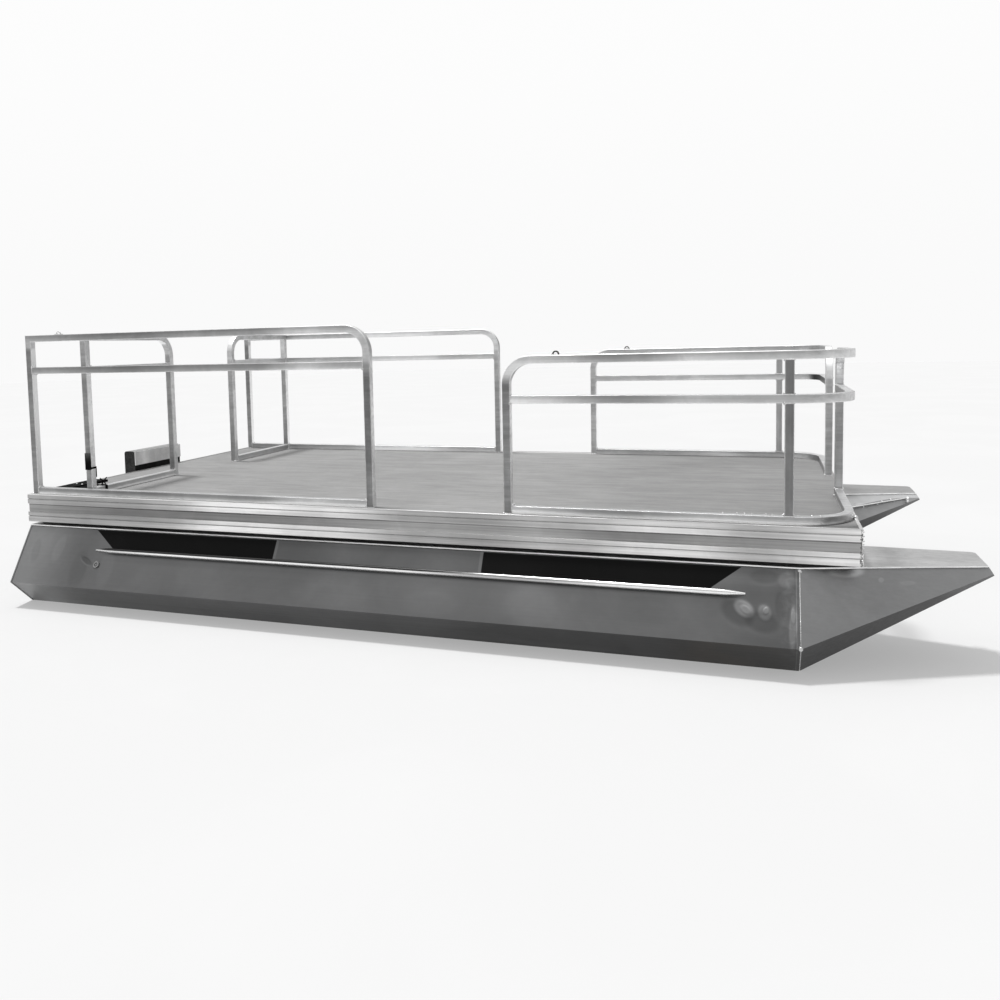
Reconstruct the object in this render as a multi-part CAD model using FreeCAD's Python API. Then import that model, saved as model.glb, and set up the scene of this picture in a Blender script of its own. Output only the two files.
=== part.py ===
"""Aluminium pontoon boat: two flat-sided welded pontoons under a railed deck.

Frame: +X to the bow, +Y to port, +Z up, in millimetres. The origin is on the ground
that the pontoons stand on, under the middle of the boat's box.
While it is built, X is measured from the deck's stern edge and Y from the centreline.
"""
import FreeCAD, Part
import math
import os

V = FreeCAD.Vector
SIDES = {"starboard": -1, "port": 1}

# ---- pontoons ---------------------------------------------------------------
PONTOON_HEIGHT = 370.0      # flat bottom to the upper face of the top plate
PONTOON_TOP_WIDTH = 427.0   # between the top edges of the two flared sides
SIDE_FLARE = 150.0          # each side leans out this far from top edge to chine
CHINE_HEIGHT = 121.0        # chine above the flat bottom
CHINE_BEVEL = 130.0         # chine to bottom corner, measured inward
NOSE_UNDER_DECK = 203.0     # the seam where the nose starts, aft of the deck's bow edge
NOSE_LENGTH = 618.0         # seam to the blunt front edge
NOSE_TAPER_OUT = 186.0      # how far the starboard top edge closes in at the tip
NOSE_TAPER_IN = 26.0        # the same on the port top edge
TIP_CHINE_DROP = 27.0       # chine under the top plate at the tip
TIP_DEPTH = 36.0            # height of the blunt front edge
TIP_RAKE = 21.0             # the front edge leans forward this far at its foot
TIP_CORNER = 22.0           # rounding of the tip's port corner
TOP_PLATE = 5.0             # thickness of the pontoon's top plate
TOP_PLATE_LIP = 5.0         # its edge past the flared side
TRANSOM_PLATE = 6.0         # thickness of the pontoon's stern plate
TRANSOM_LIP = 3.0           # its edge past the pontoon's section

# ---- rub bar and spray rail -------------------------------------------------
RUB_BAR_RADIUS = 13.0       # half-round bar on each outer side
RUB_BAR_START = 428.0
RUB_BAR_TO_SEAM = 181.0     # its forward end, aft of the seam
RUB_BAR_DOWN = 0.363        # its place down the flared side, as a share of it
RUB_BAR_TAPER = 70.0        # length of each tapered end
RUB_BAR_TIP = 3.9           # radius left at each end
SPRAY_RAIL_WIDTH = 34.0     # bent strip along the inner side of each nose
SPRAY_RAIL_THICK = 5.0
SPRAY_RAIL_DOWN = 0.47      # its place down the side at the seam
SPRAY_RAIL_TIP = 10.2       # width left at its forward end
SPRAY_RAIL_START = 0.06     # where it starts and ends, as shares of the nose
SPRAY_RAIL_END = 0.905

# ---- fittings on the pontoons -----------------------------------------------
PLUG_X = 454.0              # air plug, from the stern
PLUG_DOWN = 0.60            # share of the flared side
PLUG_RADIUS = 17.0
PLUG_PROUD = 4.0
PLUG_SLOT = 4.0             # width of its screwdriver slot
PLUG_SLOT_DEPTH = 1.5
EYE_PLATE = 8.0             # thickness of the bow eye
EYE_HOLE_RADIUS = 8.0
EYE_RADIUS = 15.0
EYE_SHARE = 0.929           # place along the nose
EYE_DROP = 28.0             # its middle under the top plate
EYE_REACH = 24.0            # its middle out from the nose's side
EYE_TONGUE = 13.2           # depth of the tongue that joins it to the side

# ---- deck -------------------------------------------------------------------
DECK_LENGTH = 3660.0
DECK_WIDTH = 2060.0
PONTOON_INSET = 15.0        # deck edge to the pontoon's top edge
TRIM_GAP = 16.0             # open gap between pontoon top and edge trim
TRIM_HEIGHT = 133.0
TRIM_UPPER_RIBS = (21.3, 22.6)      # heights, from the top down
TRIM_LOWER_RIBS = (18.6, 26.6)
TRIM_GROOVE = 2.7           # height of the groove between two ribs
TRIM_GROOVE_DEPTH = 3.0
TRIM_FLAT_DEPTH = 4.0       # the flat between the pairs of ribs lies this far back
TRIM_ROUND = 2.0            # rounding of each rib's edges
TRIM_WEB = 5.0              # wall of the trim behind that flat
TRIM_FLANGE = 12.0          # top flange, over the edge of the flooring
TRIM_FLANGE_THICK = 3.0
FLOORING = 3.0
FLOOR_PANEL = 19.0
CROSS_MEMBER_COUNT = 10
CROSS_MEMBER_DEPTH = 90.0
CROSS_MEMBER_WIDTH = 50.0
CROSS_MEMBER_WALL = 5.0
CROSS_MEMBER_END = 75.0     # first and last, from the deck's ends
RISER_WIDTH = 45.0
RISER_WALL = 5.0
RISER_INSET = 60.0          # pontoon top edge to the riser
RISER_END = 15.0            # riser ends, from the deck's ends
CLEAR_FLOOR_MARGIN = 6.0    # rails to the clear floor marked out inside them

# ---- rails ------------------------------------------------------------------
TUBE = 31.75                # square tube, 1.25 inch
TUBE_CORNER = 1.6           # flat that breaks each corner of the tube
TUBE_BEND = 100.0           # centreline radius where a top rail turns down
RAIL_INSET = 44.0           # deck edge to rail centreline
AFT_RAIL_HEIGHT = 765.0     # top of the aft rails above the flooring
AFT_MID_HEIGHT = 596.5      # centre of their middle rail
BOW_RAIL_HEIGHT = 623.0
BOW_MID_HEIGHT = 452.0
BOW_PLAN_BEND = 195.0       # centreline radius of the bow corner
CROSSING_X = 323.0          # stern crossing's centre
SIDE_GATE_AFT = 1810.0      # bow face of the post aft of the side gate
SIDE_GATE = 562.0           # clear width of the side gate
END_GATE_HALF = 288.0       # half the opening at bow and stern

# ---- motor board ------------------------------------------------------------
BOARD_WIDTH = 424.0
BOARD_THICK = 69.0
BOARD_ABOVE = 110.0         # top edge above the deck
BOARD_BELOW = 250.0         # lower edge under the deck
BOARD_ROUND = 14.0
BOARD_OFFSET = 7.0          # board's forward face to the stern trim
FACE_PLATE = 6.0
FACE_PLATE_LOW = 31.0       # above the deck
FACE_PLATE_HIGH = 107.0
ARM_Y = 140.0
ARM_WIDTH = 50.0
ARM_DEPTH = 60.0
ARM_WALL = 6.0
ARM_LENGTH = 640.0
ARM_PAD_WIDTH = 110.0
ARM_CLEARANCE = 2.0         # arm to the stern trim that it passes under

# ---- small fittings ---------------------------------------------------------
STRAP_EYE_AFT_X = 202.0
STRAP_EYE_TO_GATE = 213.0   # forward eye, ahead of the side gate
STRAP_EYE_LENGTH = 38.0
STRAP_EYE_WIDTH = 16.0
STRAP_EYE_PLATE = 3.0
STRAP_EYE_RING = 11.0
STRAP_EYE_WIRE = 3.0
STEP_PAD_LENGTH = 92.0      # black rubber pad at the starboard stern corner
STEP_PAD_WIDTH = 350.0
STEP_PAD_THICK = 11.0
STEP_PAD_Y = 100.0          # from the starboard deck edge
STEP_PAD_CLEARANCE = 2.0    # from the trim's flange
WRAP_LOW = 120.0            # rubber pad on the corner post, above the flooring
WRAP_HIGH = 200.0
WRAP_THICK = 4.0
WRAP_CLEARANCE = 0.3
STRAP_LOW = 124.0           # strap that holds the pad, above the flooring
STRAP_HIGH = 133.0
STRAP_THICK = 1.8
STRAP_TAIL = 42.0           # loose end, down from the strap

# ---- levels and places that follow ------------------------------------------
PONTOON_TOP = PONTOON_HEIGHT
TRIM_BOTTOM = PONTOON_TOP + TRIM_GAP
DECK_TOP = TRIM_BOTTOM + TRIM_HEIGHT
FLOOR_TOP = DECK_TOP - TRIM_FLANGE_THICK
PANEL_TOP = FLOOR_TOP - FLOORING
MEMBER_TOP = PANEL_TOP - FLOOR_PANEL
MEMBER_BOTTOM = MEMBER_TOP - CROSS_MEMBER_DEPTH
HALF_DECK = DECK_WIDTH / 2
PONTOON_Y = HALF_DECK - PONTOON_INSET - PONTOON_TOP_WIDTH / 2
RAIL_Y = HALF_DECK - RAIL_INSET
MAIN_LENGTH = DECK_LENGTH - NOSE_UNDER_DECK
NOSE_FRONT = MAIN_LENGTH + NOSE_LENGTH + TIP_RAKE
RUB_BAR_END = MAIN_LENGTH - RUB_BAR_TO_SEAM
AFT_POST_X = TRIM_FLANGE + TUBE / 2
BOW_CROSSING_X = DECK_LENGTH - TRIM_FLANGE - TUBE / 2
BOW_POST_X = BOW_CROSSING_X - BOW_PLAN_BEND - TUBE / 2
SIDE_GATE_BOW = SIDE_GATE_AFT + SIDE_GATE
STRAP_EYE_BOW_X = SIDE_GATE_BOW + STRAP_EYE_TO_GATE
BOARD_AFT = -BOARD_OFFSET - BOARD_THICK
ORIGIN_X = (NOSE_FRONT + BOARD_AFT) / 2


# ---- plain shapes -----------------------------------------------------------
def box(x, y, z):
    """A block between three pairs of limits."""
    return Part.makeBox(x[1] - x[0], y[1] - y[0], z[1] - z[0], V(x[0], y[0], z[0]))


def face(points):
    """A flat face inside a closed outline."""
    return Part.Face(Part.makePolygon(points + [points[0]]))


def along_x(outline, start, end):
    """An outline of (y, z) pairs, drawn out along X."""
    return face([V(start, y, z) for y, z in outline]).extrude(V(end - start, 0, 0))


def along_y(outline, start, end):
    """An outline of (x, z) pairs, drawn out along Y."""
    return face([V(x, start, z) for x, z in outline]).extrude(V(0, end - start, 0))


def joined(shapes):
    """One solid from shapes that meet."""
    whole = shapes[0]
    if len(shapes) > 1:
        whole = shapes[0].multiFuse(shapes[1:])
    return whole.removeSplitter()


def moved(shape, x=0.0, y=0.0, z=0.0):
    """A copy of a shape, moved."""
    copy = shape.copy()
    copy.translate(V(x, y, z))
    return copy


def to_side(shape, side):
    """The starboard shape itself, or its mirror image to port."""
    return shape if side == "starboard" else shape.mirror(V(0, 0, 0), V(0, 1, 0))


# ---- square tube ------------------------------------------------------------
def tube_section(centre, along):
    """The tube's square with broken corners, across a direction that lies on an axis."""
    u, v = [axis for axis in (V(1, 0, 0), V(0, 1, 0), V(0, 0, 1)) if abs(axis.dot(along)) < 0.5]
    out = TUBE / 2
    flat = out - TUBE_CORNER
    corners = [(out, -flat), (out, flat), (flat, out), (-flat, out),
               (-out, flat), (-out, -flat), (-flat, -out), (flat, -out)]
    return face([centre + u * a + v * b for a, b in corners])


def mitre_block(corner, normal):
    """A block on the far side of the mitre plane at a corner."""
    reach = 4 * TUBE
    normal = V(normal).normalize()
    other = V(0, 0, 1) if abs(normal.z) < 0.5 else V(0, 1, 0)
    if abs(normal.dot(other)) > 0.1:
        other = V(1, 0, 0)
    across = normal.cross(other).normalize()
    points = [corner + across * (u * reach) + other * (v * reach)
              for u, v in ((1, 1), (-1, 1), (-1, -1), (1, -1))]
    return face(points).extrude(normal * reach)


def square_tube(points, radii=()):
    """A square tube along runs that lie on the axes.

    radii has one value for each corner: the centreline radius of a bend, or 0 for a
    mitred corner.
    """
    radii = list(radii) + [0.0] * (len(points) - 2 - len(radii))
    solids = []
    for number in range(len(points) - 1):
        start, end = points[number], points[number + 1]
        along = (end - start).normalize()
        first = radii[number - 1] if number > 0 else None
        last = radii[number] if number < len(radii) else None
        begin = start + along * first if first else start
        finish = end - along * last if last else end
        if first == 0.0:
            begin = start - along * TUBE
        if last == 0.0:
            finish = end + along * TUBE
        run = tube_section(begin, along).extrude(finish - begin)
        if first == 0.0:
            before = (start - points[number - 1]).normalize()
            run = run.cut(mitre_block(start, (along + before) * -1))
        if last == 0.0:
            after = (points[number + 2] - end).normalize()
            run = run.cut(mitre_block(end, along + after))
        solids.append(run)
        if last:
            after = (points[number + 2] - end).normalize()
            centre = end - along * last + after * last
            section = tube_section(end - along * last, along)
            solids.append(section.revolve(centre, along.cross(after), 90))
    return joined(solids)


# ---- pontoons ---------------------------------------------------------------
HULL_TOP = PONTOON_TOP - TOP_PLATE
HALF_TOP = PONTOON_TOP_WIDTH / 2
TIP_HALF = HALF_TOP - (NOSE_TAPER_OUT + NOSE_TAPER_IN) / 2
TIP_SHIFT = (NOSE_TAPER_OUT - NOSE_TAPER_IN) / 2


def main_section(lip=0.0):
    """The six corners (y, z) of the section: starboard top, chine, foot, then port."""
    top, chine = HALF_TOP + lip, HALF_TOP + SIDE_FLARE + lip
    foot = chine - CHINE_BEVEL
    starboard = [(-top, HULL_TOP), (-chine, CHINE_HEIGHT), (-foot, 0.0)]
    return starboard + [(-y, z) for y, z in reversed(starboard)]


def tip_x(z):
    """X of the blunt front edge at a height: it leans forward downwards."""
    return MAIN_LENGTH + NOSE_LENGTH + TIP_RAKE * (PONTOON_TOP - z) / TIP_DEPTH


def on_plane(a, b, c, x, z):
    """The point at x and z on the plane through three points."""
    normal = (b - a).cross(c - a)
    return V(x, a.y - (normal.x * (x - a.x) + normal.z * (z - a.z)) / normal.y, z)


def nose_corners():
    """The nose's corners at the seam and at the tip, in the section's order.

    Each side of the nose is two flat plates, so the tip's lower corners lie on the
    planes of the plates that meet there.
    """
    seam = [V(MAIN_LENGTH, y, z) for y, z in main_section()]
    tip = []
    for top, chine, foot, hand in ((seam[0], seam[1], seam[2], -1), (seam[5], seam[4], seam[3], 1)):
        tip_top = V(tip_x(HULL_TOP), TIP_SHIFT + hand * TIP_HALF, HULL_TOP)
        chine_z = PONTOON_TOP - TIP_CHINE_DROP
        tip_chine = on_plane(top, chine, tip_top, tip_x(chine_z), chine_z)
        foot_z = PONTOON_TOP - TIP_DEPTH
        tip_foot = on_plane(chine, foot, tip_chine, tip_x(foot_z), foot_z)
        tip.append([tip_top, tip_chine, tip_foot])
    return seam, tip[0] + tip[1][::-1]


def pontoon_main():
    """The straight run of the pontoon, between stern plate and seam."""
    return along_x(main_section(), TRANSOM_PLATE, MAIN_LENGTH)


def tip_corner_edges(solid, corners):
    """The edges of a solid that join these corners, one after another."""
    edges = []
    for start, end in zip(corners, corners[1:]):
        middle = (start + end) * 0.5
        edges.append(min(solid.Edges, key=lambda edge: edge.CenterOfMass.distanceToPoint(middle)))
    return edges


def pontoon_nose():
    """The nose: flat plates that close to a low blunt edge under the top plate."""
    seam, tip = nose_corners()
    plates = [face(seam[::-1]), face(tip)]
    for number in range(6):
        after = (number + 1) % 6
        plates.append(face([tip[number], tip[after], seam[after], seam[number]]))
    nose = Part.Solid(Part.Shell(plates))
    return nose.makeFillet(TIP_CORNER, tip_corner_edges(nose, tip[3:]))


def pontoon_top_plate():
    """The top plate, over the main run and the nose, with a small lip all round."""
    half = HALF_TOP + TOP_PLATE_LIP
    front = MAIN_LENGTH + NOSE_LENGTH
    outline = [V(0, -half, HULL_TOP), V(MAIN_LENGTH, -half, HULL_TOP),
               V(front, TIP_SHIFT - TIP_HALF - TOP_PLATE_LIP, HULL_TOP),
               V(front, TIP_SHIFT + TIP_HALF, HULL_TOP),
               V(MAIN_LENGTH, half, HULL_TOP), V(0, half, HULL_TOP)]
    plate = face(outline).extrude(V(0, 0, TOP_PLATE))
    return plate.makeFillet(TIP_CORNER, tip_corner_edges(plate, [outline[3], outline[3] + V(0, 0, TOP_PLATE)]))


def pontoon_transom():
    """The stern plate, a little larger than the section."""
    return along_x(main_section(TRANSOM_LIP), 0.0, TRANSOM_PLATE)


def side_point(x, down, outward):
    """A point on the main run's flared side, pushed out square to it."""
    length = math.hypot(SIDE_FLARE, HULL_TOP - CHINE_HEIGHT)
    out_y = (HULL_TOP - CHINE_HEIGHT) / length
    out_z = SIDE_FLARE / length
    y = HALF_TOP + SIDE_FLARE * down
    z = HULL_TOP - (HULL_TOP - CHINE_HEIGHT) * down
    return V(x, y + out_y * outward, z + out_z * outward)


def rub_bar(hand):
    """A half-round bar along the outer side, its ends drawn down to the plate."""
    def half_round(x, radius):
        near = side_point(x, RUB_BAR_DOWN, 0.0)
        out = side_point(x, RUB_BAR_DOWN, 1.0) - near
        tangent = V(0, -out.z, out.y)
        first, last = near + tangent * radius, near - tangent * radius
        arc = Part.Arc(first, near + out * radius, last).toShape()
        return Part.Wire([arc, Part.LineSegment(last, first).toShape()])
    stations = [(RUB_BAR_START, RUB_BAR_TIP), (RUB_BAR_START + RUB_BAR_TAPER, RUB_BAR_RADIUS),
                (RUB_BAR_END - RUB_BAR_TAPER, RUB_BAR_RADIUS), (RUB_BAR_END, RUB_BAR_TIP)]
    wires = [half_round(x, radius) for x, radius in stations]
    bar = Part.makeLoft(wires, True, True)
    return bar if hand > 0 else bar.mirror(V(0, 0, 0), V(0, 1, 0))


def nose_point(share, down, hand):
    """A point on the nose's side, at a share of its length and of the side's height."""
    top, chine = (5, 4) if hand > 0 else (0, 1)
    ends = [corners[top] + (corners[chine] - corners[top]) * down for corners in nose_corners()]
    return ends[0] + (ends[1] - ends[0]) * share


def spray_rail(hand):
    """A bent strip along the inner side of the nose, closing to a point at its end."""
    sections = []
    for share, width in ((SPRAY_RAIL_START, SPRAY_RAIL_WIDTH), (SPRAY_RAIL_END, SPRAY_RAIL_TIP)):
        root = nose_point(share, SPRAY_RAIL_DOWN, hand)
        upper = nose_point(share, 0.0, hand)
        face_down = (root - upper).normalize()
        out = V(0, hand, 0) - face_down * V(0, hand, 0).dot(face_down)
        out = out.normalize()
        low = face_down * SPRAY_RAIL_THICK
        corners = [root, root + out * width, root + out * width + low, root + low]
        corners = [V(root.x, c.y, c.z) for c in corners]
        sections.append(Part.makePolygon(corners + corners[:1]))
    return Part.makeLoft(sections, True, True).cut(pontoon_nose())


def bow_eye(hand):
    """A rounded plate with a hole, standing out from the inner side near the tip."""
    upper, chine = nose_point(EYE_SHARE, 0.0, hand), nose_point(EYE_SHARE, 1.0, hand)
    z = PONTOON_TOP - EYE_DROP
    side_y = upper.y + (chine.y - upper.y) * (upper.z - z) / (upper.z - chine.z)
    middle = side_y + hand * EYE_REACH
    back = MAIN_LENGTH + NOSE_LENGTH * EYE_SHARE - EYE_PLATE / 2
    start = V(back, middle, z)
    disc = Part.makeCylinder(EYE_RADIUS, EYE_PLATE, start, V(1, 0, 0))
    tongue = box((back, back + EYE_PLATE), sorted((middle, side_y - hand * EYE_REACH)), (z - EYE_TONGUE, z))
    hole = Part.makeCylinder(EYE_HOLE_RADIUS, EYE_PLATE, start, V(1, 0, 0))
    return joined([disc, tongue]).cut(hole).cut(pontoon_nose())


def air_plug(hand):
    """A round screwed plug on the outer side near the stern."""
    seat = side_point(PLUG_X, PLUG_DOWN, 0.0)
    out = side_point(PLUG_X, PLUG_DOWN, 1.0) - seat
    rim = Part.makeCylinder(PLUG_RADIUS, PLUG_PROUD, seat, out)
    slot = box((-PLUG_RADIUS / 2, PLUG_RADIUS / 2), (-PLUG_SLOT / 2, PLUG_SLOT / 2),
               (-PLUG_SLOT_DEPTH, PLUG_SLOT_DEPTH))
    slot.rotate(V(0, 0, 0), V(1, 0, 0), -math.degrees(math.atan2(out.y, out.z)))
    slot.translate(seat + out * PLUG_PROUD)
    plug = rim.cut(slot)
    return plug if hand > 0 else plug.mirror(V(0, 0, 0), V(0, 1, 0))


def pontoons(parts):
    """Both pontoons. The noses are alike, so each closes in on its starboard side."""
    for side, hand in SIDES.items():
        y = hand * PONTOON_Y
        pieces = {
            "pontoon": pontoon_main(),
            "pontoon_nose": pontoon_nose(),
            "pontoon_top_plate": pontoon_top_plate(),
            "pontoon_transom": pontoon_transom(),
            "rub_bar": rub_bar(hand),
            "spray_rail": spray_rail(-hand),
            "bow_eye": bow_eye(-hand),
            "air_plug": air_plug(hand),
        }
        for name, shape in pieces.items():
            parts[f"{side}_{name}"] = moved(shape, y=y)


# ---- deck -------------------------------------------------------------------
TRIM_DEPTH = TRIM_FLAT_DEPTH + TRIM_WEB
ROUND_STEPS = 3             # flats that stand for each rounded edge of a rib


def rib(top, height, above, below):
    """A rib's outline as (inward, z) pairs: a flat face with rounded edges.

    above and below are the depths of what lies over and under it.
    """
    turns = [math.pi / 2 * step / ROUND_STEPS for step in range(ROUND_STEPS + 1)]
    low = top - height
    upper = [(TRIM_ROUND * (1 - math.sin(turn)), top - TRIM_ROUND * (1 - math.cos(turn))) for turn in turns]
    lower = [(inward, low + top - z) for inward, z in reversed(upper)]
    return [(above, top)] + upper + lower + [(below, low)]


def trim_outline():
    """The edge trim's section as (inward, z) pairs: ribbed face, web and top flange."""
    flat, groove = TRIM_FLAT_DEPTH, TRIM_GROOVE_DEPTH
    first, second = TRIM_UPPER_RIBS
    third, fourth = TRIM_LOWER_RIBS
    outer = rib(DECK_TOP, first, TRIM_FLANGE, groove)
    outer += rib(DECK_TOP - first - TRIM_GROOVE, second, groove, flat)
    outer += rib(TRIM_BOTTOM + fourth + TRIM_GROOVE + third, third, flat, groove)
    outer += rib(TRIM_BOTTOM + fourth, fourth, groove, TRIM_DEPTH)
    return outer + [(TRIM_DEPTH, FLOOR_TOP), (TRIM_FLANGE, FLOOR_TOP)]


def edge_trims(parts):
    """Four lengths of edge trim, mitred at the corners of the deck."""
    outline = trim_outline()
    zs = (TRIM_BOTTOM - 1, DECK_TOP + 1)
    depth = TRIM_FLANGE + 1

    def wedge(corners):
        return face([V(x, y, zs[0]) for x, y in corners]).extrude(V(0, 0, zs[1] - zs[0]))

    side = along_x([(-HALF_DECK + inward, z) for inward, z in outline], 0.0, DECK_LENGTH)
    side = side.common(wedge([(0, -HALF_DECK), (DECK_LENGTH, -HALF_DECK),
                              (DECK_LENGTH - depth, -HALF_DECK + depth), (depth, -HALF_DECK + depth)]))
    end = along_y(outline, -HALF_DECK, HALF_DECK)
    end = end.common(wedge([(0, -HALF_DECK), (0, HALF_DECK),
                            (depth, HALF_DECK - depth), (depth, -HALF_DECK + depth)]))
    parts["starboard_edge_trim"] = side
    parts["port_edge_trim"] = to_side(side, "port")
    parts["stern_edge_trim"] = end
    parts["bow_edge_trim"] = moved(end.mirror(V(0, 0, 0), V(1, 0, 0)), x=DECK_LENGTH)


def clear_floor():
    """The flat floor inside the rails, free for deck furniture, rounded as the bow rails are."""
    off = TUBE / 2 + CLEAR_FLOOR_MARGIN
    aft, bow, side = CROSSING_X + off, BOW_CROSSING_X - off, RAIL_Y - off
    bend = BOW_PLAN_BEND - off
    block = box((aft, bow), (-side, side), (FLOOR_TOP, FLOOR_TOP + FLOORING))
    corners = [edge for edge in block.Edges
               if edge.BoundBox.ZLength > FLOORING / 2 and edge.BoundBox.XMin > (aft + bow) / 2]
    rounded = block.makeFillet(bend, corners)
    return min(rounded.Faces, key=lambda side_face: side_face.BoundBox.ZMax)


def deck(parts):
    """Flooring on a panel, on cross members, on risers along the pontoons."""
    inner = (TRIM_DEPTH, DECK_LENGTH - TRIM_DEPTH)
    across = (-HALF_DECK + TRIM_DEPTH, HALF_DECK - TRIM_DEPTH)
    sheet = box(inner, across, (PANEL_TOP, FLOOR_TOP))
    marked, _ = sheet.generalFuse([clear_floor()])
    parts["flooring"] = marked.Solids[0]
    parts["floor_panel"] = box(inner, across, (MEMBER_TOP, PANEL_TOP))
    wall = CROSS_MEMBER_WALL
    channel = [(0, MEMBER_TOP), (CROSS_MEMBER_WIDTH, MEMBER_TOP), (CROSS_MEMBER_WIDTH, MEMBER_TOP - wall),
               (wall, MEMBER_TOP - wall), (wall, MEMBER_BOTTOM + wall),
               (CROSS_MEMBER_WIDTH, MEMBER_BOTTOM + wall), (CROSS_MEMBER_WIDTH, MEMBER_BOTTOM),
               (0, MEMBER_BOTTOM)]
    member = along_y(channel, *across)
    pitch = (DECK_LENGTH - 2 * CROSS_MEMBER_END) / (CROSS_MEMBER_COUNT - 1)
    places = [CROSS_MEMBER_END + pitch * number - CROSS_MEMBER_WIDTH / 2
              for number in range(CROSS_MEMBER_COUNT)]
    parts["cross_members"] = Part.makeCompound([moved(member, x=x) for x in places])
    for side, hand in SIDES.items():
        risers = []
        for inward in (1, -1):
            edge = inward * (HALF_TOP - RISER_INSET)
            wide = -inward * RISER_WIDTH
            w = -inward * RISER_WALL
            outline = [(edge, MEMBER_BOTTOM), (edge + wide, MEMBER_BOTTOM),
                       (edge + wide, MEMBER_BOTTOM - RISER_WALL), (edge + w, MEMBER_BOTTOM - RISER_WALL),
                       (edge + w, PONTOON_TOP + RISER_WALL), (edge + wide, PONTOON_TOP + RISER_WALL),
                       (edge + wide, PONTOON_TOP), (edge, PONTOON_TOP)]
            riser = along_x(outline, RISER_END, DECK_LENGTH - RISER_END)
            risers.append(moved(riser, y=hand * PONTOON_Y))
        parts[f"{side}_deck_risers"] = Part.makeCompound(risers)


# ---- rails ------------------------------------------------------------------
def aft_rails(parts):
    """Side rail from the aft-most post to the side gate, and the stern crossing."""
    half = TUBE / 2
    base = FLOOR_TOP + half
    mid = FLOOR_TOP + AFT_MID_HEIGHT
    top = FLOOR_TOP + AFT_RAIL_HEIGHT - half
    gate_post = SIDE_GATE_AFT - half
    y = -RAIL_Y
    inner_y = y + TUBE
    end_y = -END_GATE_HALF - half
    pieces = {
        "aft_rail_hoop": square_tube(
            [V(AFT_POST_X, y, FLOOR_TOP), V(AFT_POST_X, y, top), V(gate_post, y, top),
             V(gate_post, y, FLOOR_TOP)], (0.0, TUBE_BEND)),
        "aft_mid_rail": square_tube([V(AFT_POST_X + half, y, mid), V(gate_post - half, y, mid)]),
        "aft_base_rail": square_tube([V(AFT_POST_X + half, y, base), V(gate_post - half, y, base)]),
        "stern_rail_hoop": square_tube(
            [V(CROSSING_X, inner_y, FLOOR_TOP), V(CROSSING_X, inner_y, top), V(CROSSING_X, end_y, top),
             V(CROSSING_X, end_y, FLOOR_TOP)], (0.0, TUBE_BEND)),
        "stern_mid_rail": square_tube(
            [V(CROSSING_X, inner_y + half, mid), V(CROSSING_X, end_y - half, mid)]),
        "stern_base_rail": square_tube(
            [V(CROSSING_X, inner_y + half, base), V(CROSSING_X, end_y - half, base)]),
    }
    for side in SIDES:
        for name, shape in pieces.items():
            parts[f"{side}_{name}"] = to_side(shape, side)


def bow_rails(parts):
    """Rail from the side gate, round the bow corner, to the bow gate."""
    half = TUBE / 2
    base = FLOOR_TOP + half
    mid = FLOOR_TOP + BOW_MID_HEIGHT
    top = FLOOR_TOP + BOW_RAIL_HEIGHT - half
    start = SIDE_GATE_BOW + half
    y = -RAIL_Y
    end_y = -END_GATE_HALF - half

    def level_rail(z):
        return square_tube([V(start + half, y, z), V(BOW_CROSSING_X, y, z),
                            V(BOW_CROSSING_X, end_y - half, z)], (BOW_PLAN_BEND,))

    def post(z0, z1):
        return square_tube([V(BOW_POST_X, y, z0), V(BOW_POST_X, y, z1)])

    pieces = {
        "bow_rail_hoop": square_tube(
            [V(start, y, FLOOR_TOP), V(start, y, top), V(BOW_CROSSING_X, y, top),
             V(BOW_CROSSING_X, end_y, top), V(BOW_CROSSING_X, end_y, FLOOR_TOP)],
            (TUBE_BEND, BOW_PLAN_BEND, TUBE_BEND)),
        "bow_mid_rail": level_rail(mid),
        "bow_base_rail": level_rail(base),
        "bow_posts": Part.makeCompound([post(base + half, mid - half), post(mid + half, top - half)]),
    }
    for side in SIDES:
        for name, shape in pieces.items():
            parts[f"{side}_{name}"] = to_side(shape, side)


# ---- motor board ------------------------------------------------------------
def motor_mount(parts):
    """A dark clamp board behind the stern trim, on two arms under the deck."""
    half = BOARD_WIDTH / 2
    board = box((BOARD_AFT, -BOARD_OFFSET), (-half, half), (DECK_TOP - BOARD_BELOW, DECK_TOP + BOARD_ABOVE))
    upper = [edge for edge in board.Edges
             if abs(edge.BoundBox.ZMin - board.BoundBox.ZMax) < 1e-6 and edge.BoundBox.YLength > 1]
    parts["motor_board"] = board.makeFillet(BOARD_ROUND, upper)
    parts["motor_face_plate"] = box((-BOARD_OFFSET, -BOARD_OFFSET + FACE_PLATE), (-half, half),
                                    (DECK_TOP + FACE_PLATE_LOW, DECK_TOP + FACE_PLATE_HIGH))
    arms = []
    for hand in (-1, 1):
        y = hand * ARM_Y
        outer = box((0, ARM_LENGTH), (y - ARM_WIDTH / 2, y + ARM_WIDTH / 2),
                    (MEMBER_BOTTOM - ARM_DEPTH, MEMBER_BOTTOM))
        notch = box((-1, TRIM_DEPTH + ARM_CLEARANCE), (y - ARM_WIDTH, y + ARM_WIDTH),
                    (TRIM_BOTTOM - ARM_CLEARANCE, MEMBER_BOTTOM))
        hollow = box((0, ARM_LENGTH), (y - ARM_WIDTH / 2 + ARM_WALL, y + ARM_WIDTH / 2 - ARM_WALL),
                     (MEMBER_BOTTOM - ARM_DEPTH, MEMBER_BOTTOM - ARM_WALL))
        pad = box((-BOARD_OFFSET, 0), (y - ARM_PAD_WIDTH / 2, y + ARM_PAD_WIDTH / 2),
                  (DECK_TOP - BOARD_BELOW, TRIM_BOTTOM - ARM_CLEARANCE))
        arms.append(joined([outer.cut(hollow).cut(notch), pad]))
    parts["motor_board_arms"] = Part.makeCompound(arms)


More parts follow.
